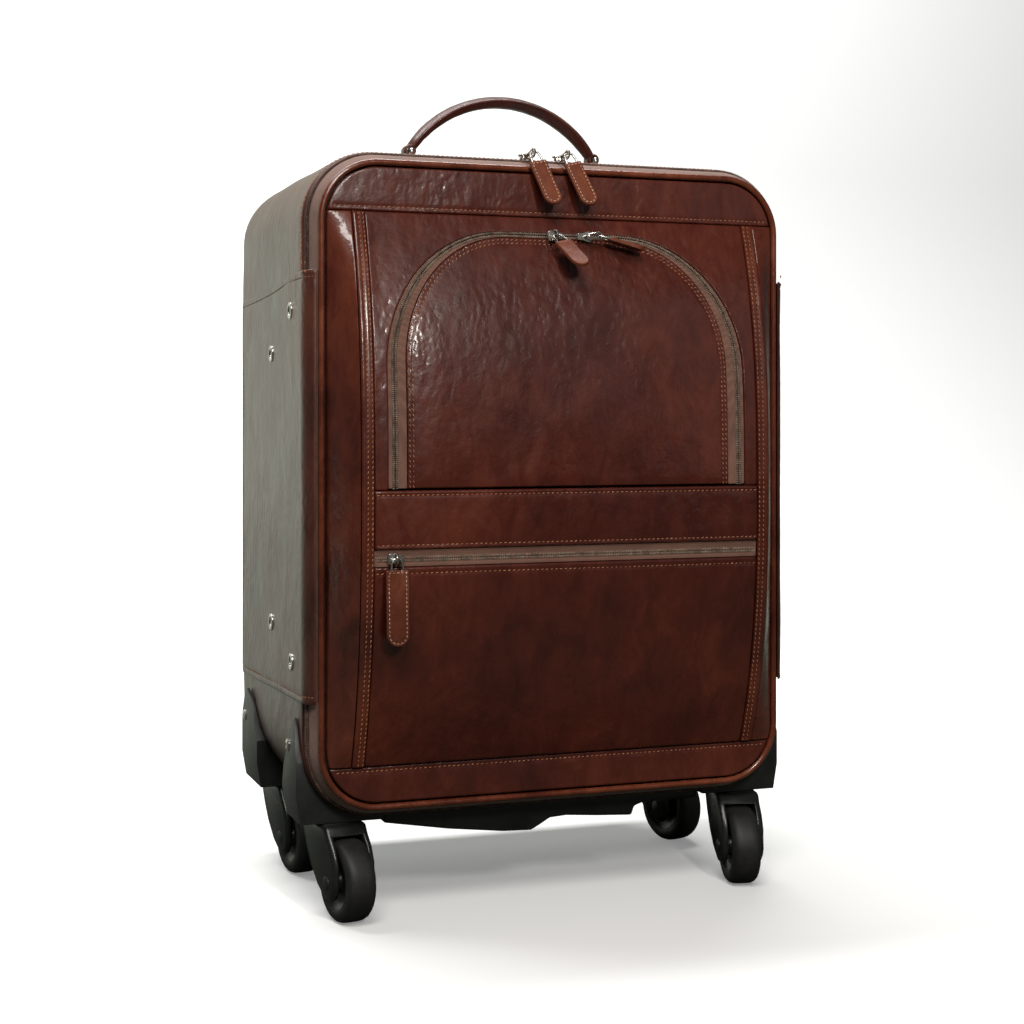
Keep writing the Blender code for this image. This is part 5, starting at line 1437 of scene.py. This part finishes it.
def quilted(name, low, high, material, swell):
    """A padded panel between two corners, swollen by air pressure and held at its edges."""
    middle = (low + high) / 2
    half = (high - low) / 2
    columns, rows = 60, 56
    points, faces = [], []
    for face_y in (low.y, high.y):
        sign = -1 if face_y == low.y else 1
        for row in range(rows + 1):
            for column in range(columns + 1):
                a, b = -1 + 2 * column / columns, -1 + 2 * row / rows
                flat = max(abs(a), abs(b))
                thin = 0.35 + 0.55 * (1 - flat**8)
                points.append((middle.x + a * half.x * (1 - 0.012 * b * b), middle.y + sign * half.y * thin,
                               middle.z + b * half.z * (1 - 0.012 * a * a)))
    wide = columns + 1
    total = wide * (rows + 1)
    for row in range(rows):
        for column in range(columns):
            start = row * wide + column
            quad = (start, start + 1, start + 1 + wide, start + wide)
            faces += [quad, tuple(total + index for index in reversed(quad))]
    rim = list(range(wide)) + [row * wide + columns for row in range(1, rows + 1)]
    rim += [rows * wide + column for column in range(columns - 1, -1, -1)]
    rim += [row * wide for row in range(rows - 1, 0, -1)]
    for index, start in enumerate(rim):
        end = rim[(index + 1) % len(rim)]
        faces.append((end, start, total + start, total + end))
    made = closed_mesh(name, points, faces, [material], 80)
    start_shape = np.array([point.co for point in made.data.vertices])
    pins = made.vertex_groups.new(name="bound_edge")
    pins.add(rim + [total + index for index in rim], 1.0, "REPLACE")
    for lane in (-0.34, 0.34):
        column = round((lane + 1) / 2 * columns)
        line = [row * wide + column for row in range(rows + 1)]
        pins.add(line + [total + index for index in line], 0.9, "REPLACE")
    cloth = made.modifiers.new("air", "CLOTH")
    cloth.settings.quality = 4
    cloth.settings.mass = 0.2
    cloth.settings.tension_stiffness = 12
    cloth.settings.compression_stiffness = 12
    cloth.settings.bending_stiffness = 1.5
    cloth.settings.use_pressure = True
    cloth.settings.uniform_pressure_force = 4.0
    cloth.settings.vertex_group_mass = "bound_edge"
    cloth.settings.effector_weights.gravity = 0.0
    cloth.collision_settings.use_self_collision = False
    cloth.point_cache.frame_end = 20
    for step in range(1, 21):
        bpy.context.scene.frame_set(step)
    bake_modifiers(made)
    bpy.context.scene.frame_set(1)
    made.vertex_groups.clear()
    moved = np.array([point.co for point in made.data.vertices]) - start_shape
    length = np.linalg.norm(moved, axis=1)
    moved *= (np.minimum(length, swell) / np.maximum(length, 1e-9))[:, None]
    shape = start_shape + moved
    shape[:, 1] = np.minimum(shape[:, 1], sleeve_high.y)
    made.data.vertices.foreach_set("co", shape.ravel())
    made.data.shade_smooth()
    return made


PAD = 0.008
front_pad = quilted("sleeve_front_pad", sleeve_low, Vector((sleeve_high.x, sleeve_low.y + PAD, sleeve_high.z)),
                    sleeve_cloth, 0.003)
fasten(front_pad, "case", "laptop_sleeve")
back_pad = quilted("sleeve_back_pad", Vector((sleeve_low.x, sleeve_high.y - PAD, sleeve_low.z)), sleeve_high,
                   sleeve_cloth, 0.003)
fasten(back_pad, "case")
inset = 0.003
depth_low, depth_high = sleeve_low.y + PAD * 0.5, sleeve_high.y - PAD * 0.5
corner = 0.030
path = [(sleeve_low.x + inset, sleeve_high.z - inset), (sleeve_low.x + inset, sleeve_low.z + corner),
        (sleeve_low.x + corner, sleeve_low.z + inset), (sleeve_high.x - corner, sleeve_low.z + inset),
        (sleeve_high.x - inset, sleeve_low.z + corner), (sleeve_high.x - inset, sleeve_high.z - inset)]
rounded_path = rounded_line([(x, 0.0, z) for x, z in path], 0.028, 8, False)
wall = []
for point, along in directions(rounded_path):
    inner_way = Vector((-along.z, 0.0, along.x)) * 0.0018
    wall += [(point.x, depth_low, point.z), (point.x, depth_high, point.z),
             (point.x + inner_way.x, depth_high, point.z + inner_way.z),
             (point.x + inner_way.x, depth_low, point.z + inner_way.z)]
gusset = closed_mesh("sleeve_gusset", wall, ring_faces(len(rounded_path), 4, False), [sleeve_cloth], 40)
fasten(gusset, "case")
binding_tape = woven_material("binding_tape", (0.020, 0.020, 0.022), (0.075, 0.074, 0.078), 2400, 0.85)
bindings = []
for name, y in (("front", sleeve_low.y + PAD / 2), ("back", sleeve_high.y - PAD / 2)):
    line = [Vector((sleeve_low.x + 0.004 + (sleeve_high.x - sleeve_low.x - 0.008) * step / 40, y,
                    sleeve_high.z - 0.0034)) for step in range(41)]
    bindings.append(wire(f"binding_{name}", line, 0.0032, binding_tape, False, 12, 0.75))
fasten(join_pieces("sleeve_binding", bindings), "case")
hinge_low, hinge_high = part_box("hinge_tape")
strip_line = [Vector((0.0, y, z)) for y, z in (
    (board_high.y + 0.0006, board_low.z + 0.030), (board_high.y + 0.0006, board_low.z + 0.010),
    (board_high.y + 0.0022, hinge_low.z + 0.0045), (hinge_low.y + 0.0016, hinge_low.z + 0.0006),
    (hinge_low.y + 0.010, hinge_low.z + 0.0006), (hinge_high.y, hinge_low.z + 0.0006))]
strip_line = rounded_line(strip_line, 0.004, 6, False)
strip_points = []
for point, along in directions(strip_line):
    up = Vector((0.0, -along.z, along.y)) * 0.0004
    for x in np.linspace(hinge_low.x, hinge_high.x, 25):
        strip_points.append((x, point.y + up.y, point.z + up.z))
    for x in np.linspace(hinge_high.x, hinge_low.x, 25):
        strip_points.append((x, point.y - up.y, point.z - up.z))
hinge_cloth = closed_mesh("hinge_webbing", strip_points, ring_faces(len(strip_line), 50, False), [binding_tape])
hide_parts("hinge_tape")
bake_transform(hinge_cloth)
strip_length = sum((after - before).length for before, after in zip(strip_line, strip_line[1:]))


# Corner guards and base. Four moulded guards hold the case's lower corners between tall fins, each with a screw,
# and a moulded tray closes the base between them.
for end in ("front", "rear"):
    for side in ("left", "right"):
        softened_copy(f"guard_plastic_{end}_{side}", f"caster_guard_{end}_{side}", "case", black_plastic,
                      0.0012, 3)
softened_copy("tray_plastic", "base_tray", "case", black_plastic, 0.0008)
guard_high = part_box("caster_guard_front_right")[1]
guard_screws = []
for sign in (-1, 1):
    for depth, z in ((0.043, 0.113), (SHELL_BACK - 0.046, 0.110)):
        guard_screws.append(((sign * (guard_high.x - 0.0001), lid_y + depth, z), (sign, 0, 0)))
screw_heads("guard_screws", "case", guard_screws, 0.0042)


# Casters. A hooded fork turns on a stem in each corner guard, and its wheel is a polyurethane tyre cast round a
# moulded hub that spins on a pressed-in axle.
tyre_rubber = plastic_material("tyre_polyurethane", (0.010, 0.010, 0.010), (0.028, 0.027, 0.025), 0.55, 0.00012)
fork_plastic = plastic_material("fork_plastic", (0.0085, 0.0095, 0.0085), (0.020, 0.022, 0.020), 0.28,
                                0.00004)
hub_plastic = plastic_material("hub_plastic", (0.012, 0.012, 0.012), (0.030, 0.030, 0.030), 0.35)
WHEEL_R, WHEEL_HALF = 0.027, 0.010
AXLE_CAP_OUT = 0.0155
tyre_profile = mirrored([(-0.0090, 0.0178), (-WHEEL_HALF, 0.0190), (-WHEEL_HALF, 0.0226), (-0.0094, 0.0246),
                         (-0.0080, 0.0260), (-0.0058, 0.0268), (-0.0030, WHEEL_R)])
hub_profile = mirrored([(-0.0095, 0.0034), (-0.0095, 0.0066), (-0.0070, 0.0074), (-0.0060, 0.0120),
                        (-0.0072, 0.0160), (-0.0088, 0.0177)])
for end in ("front", "rear"):
    for side in ("left", "right"):
        place = f"{end}_{side}"
        softened_copy(f"fork_plastic_{place}", f"caster_fork_{place}", f"caster_fork_{place}", fork_plastic,
                      0.0026, 5)
        spin = joints[f"wheel_spin_{place}"]
        axle, along = Vector(spin["pos_m"]), Vector(spin["axis"]).normalized()
        tyre = lathe(f"tyre_{place}", tyre_profile, axle, along, [tyre_rubber], 64, 50)
        hub = lathe(f"hub_{place}", hub_profile, axle, along, [hub_plastic], 48, 50)
        wheel = join_pieces(f"wheel_{place}", [tyre, hub])
        fasten(wheel, f"caster_wheel_{place}", f"caster_wheel_{place}")
        caps = []
        for way in (-1, 1):
            dome = [(-0.0003, 0.0), (-0.0003, 0.0046), (0.0004, 0.0044), (0.0009, 0.0030), (0.0010, 0.0)]
            caps.append(lathe(f"cap_{way}", dome, axle + along * way * AXLE_CAP_OUT, along * way,
                              [black_plastic], 24))
        cap = join_pieces(f"axle_caps_{place}", caps)
        fasten(cap, f"caster_fork_{place}")
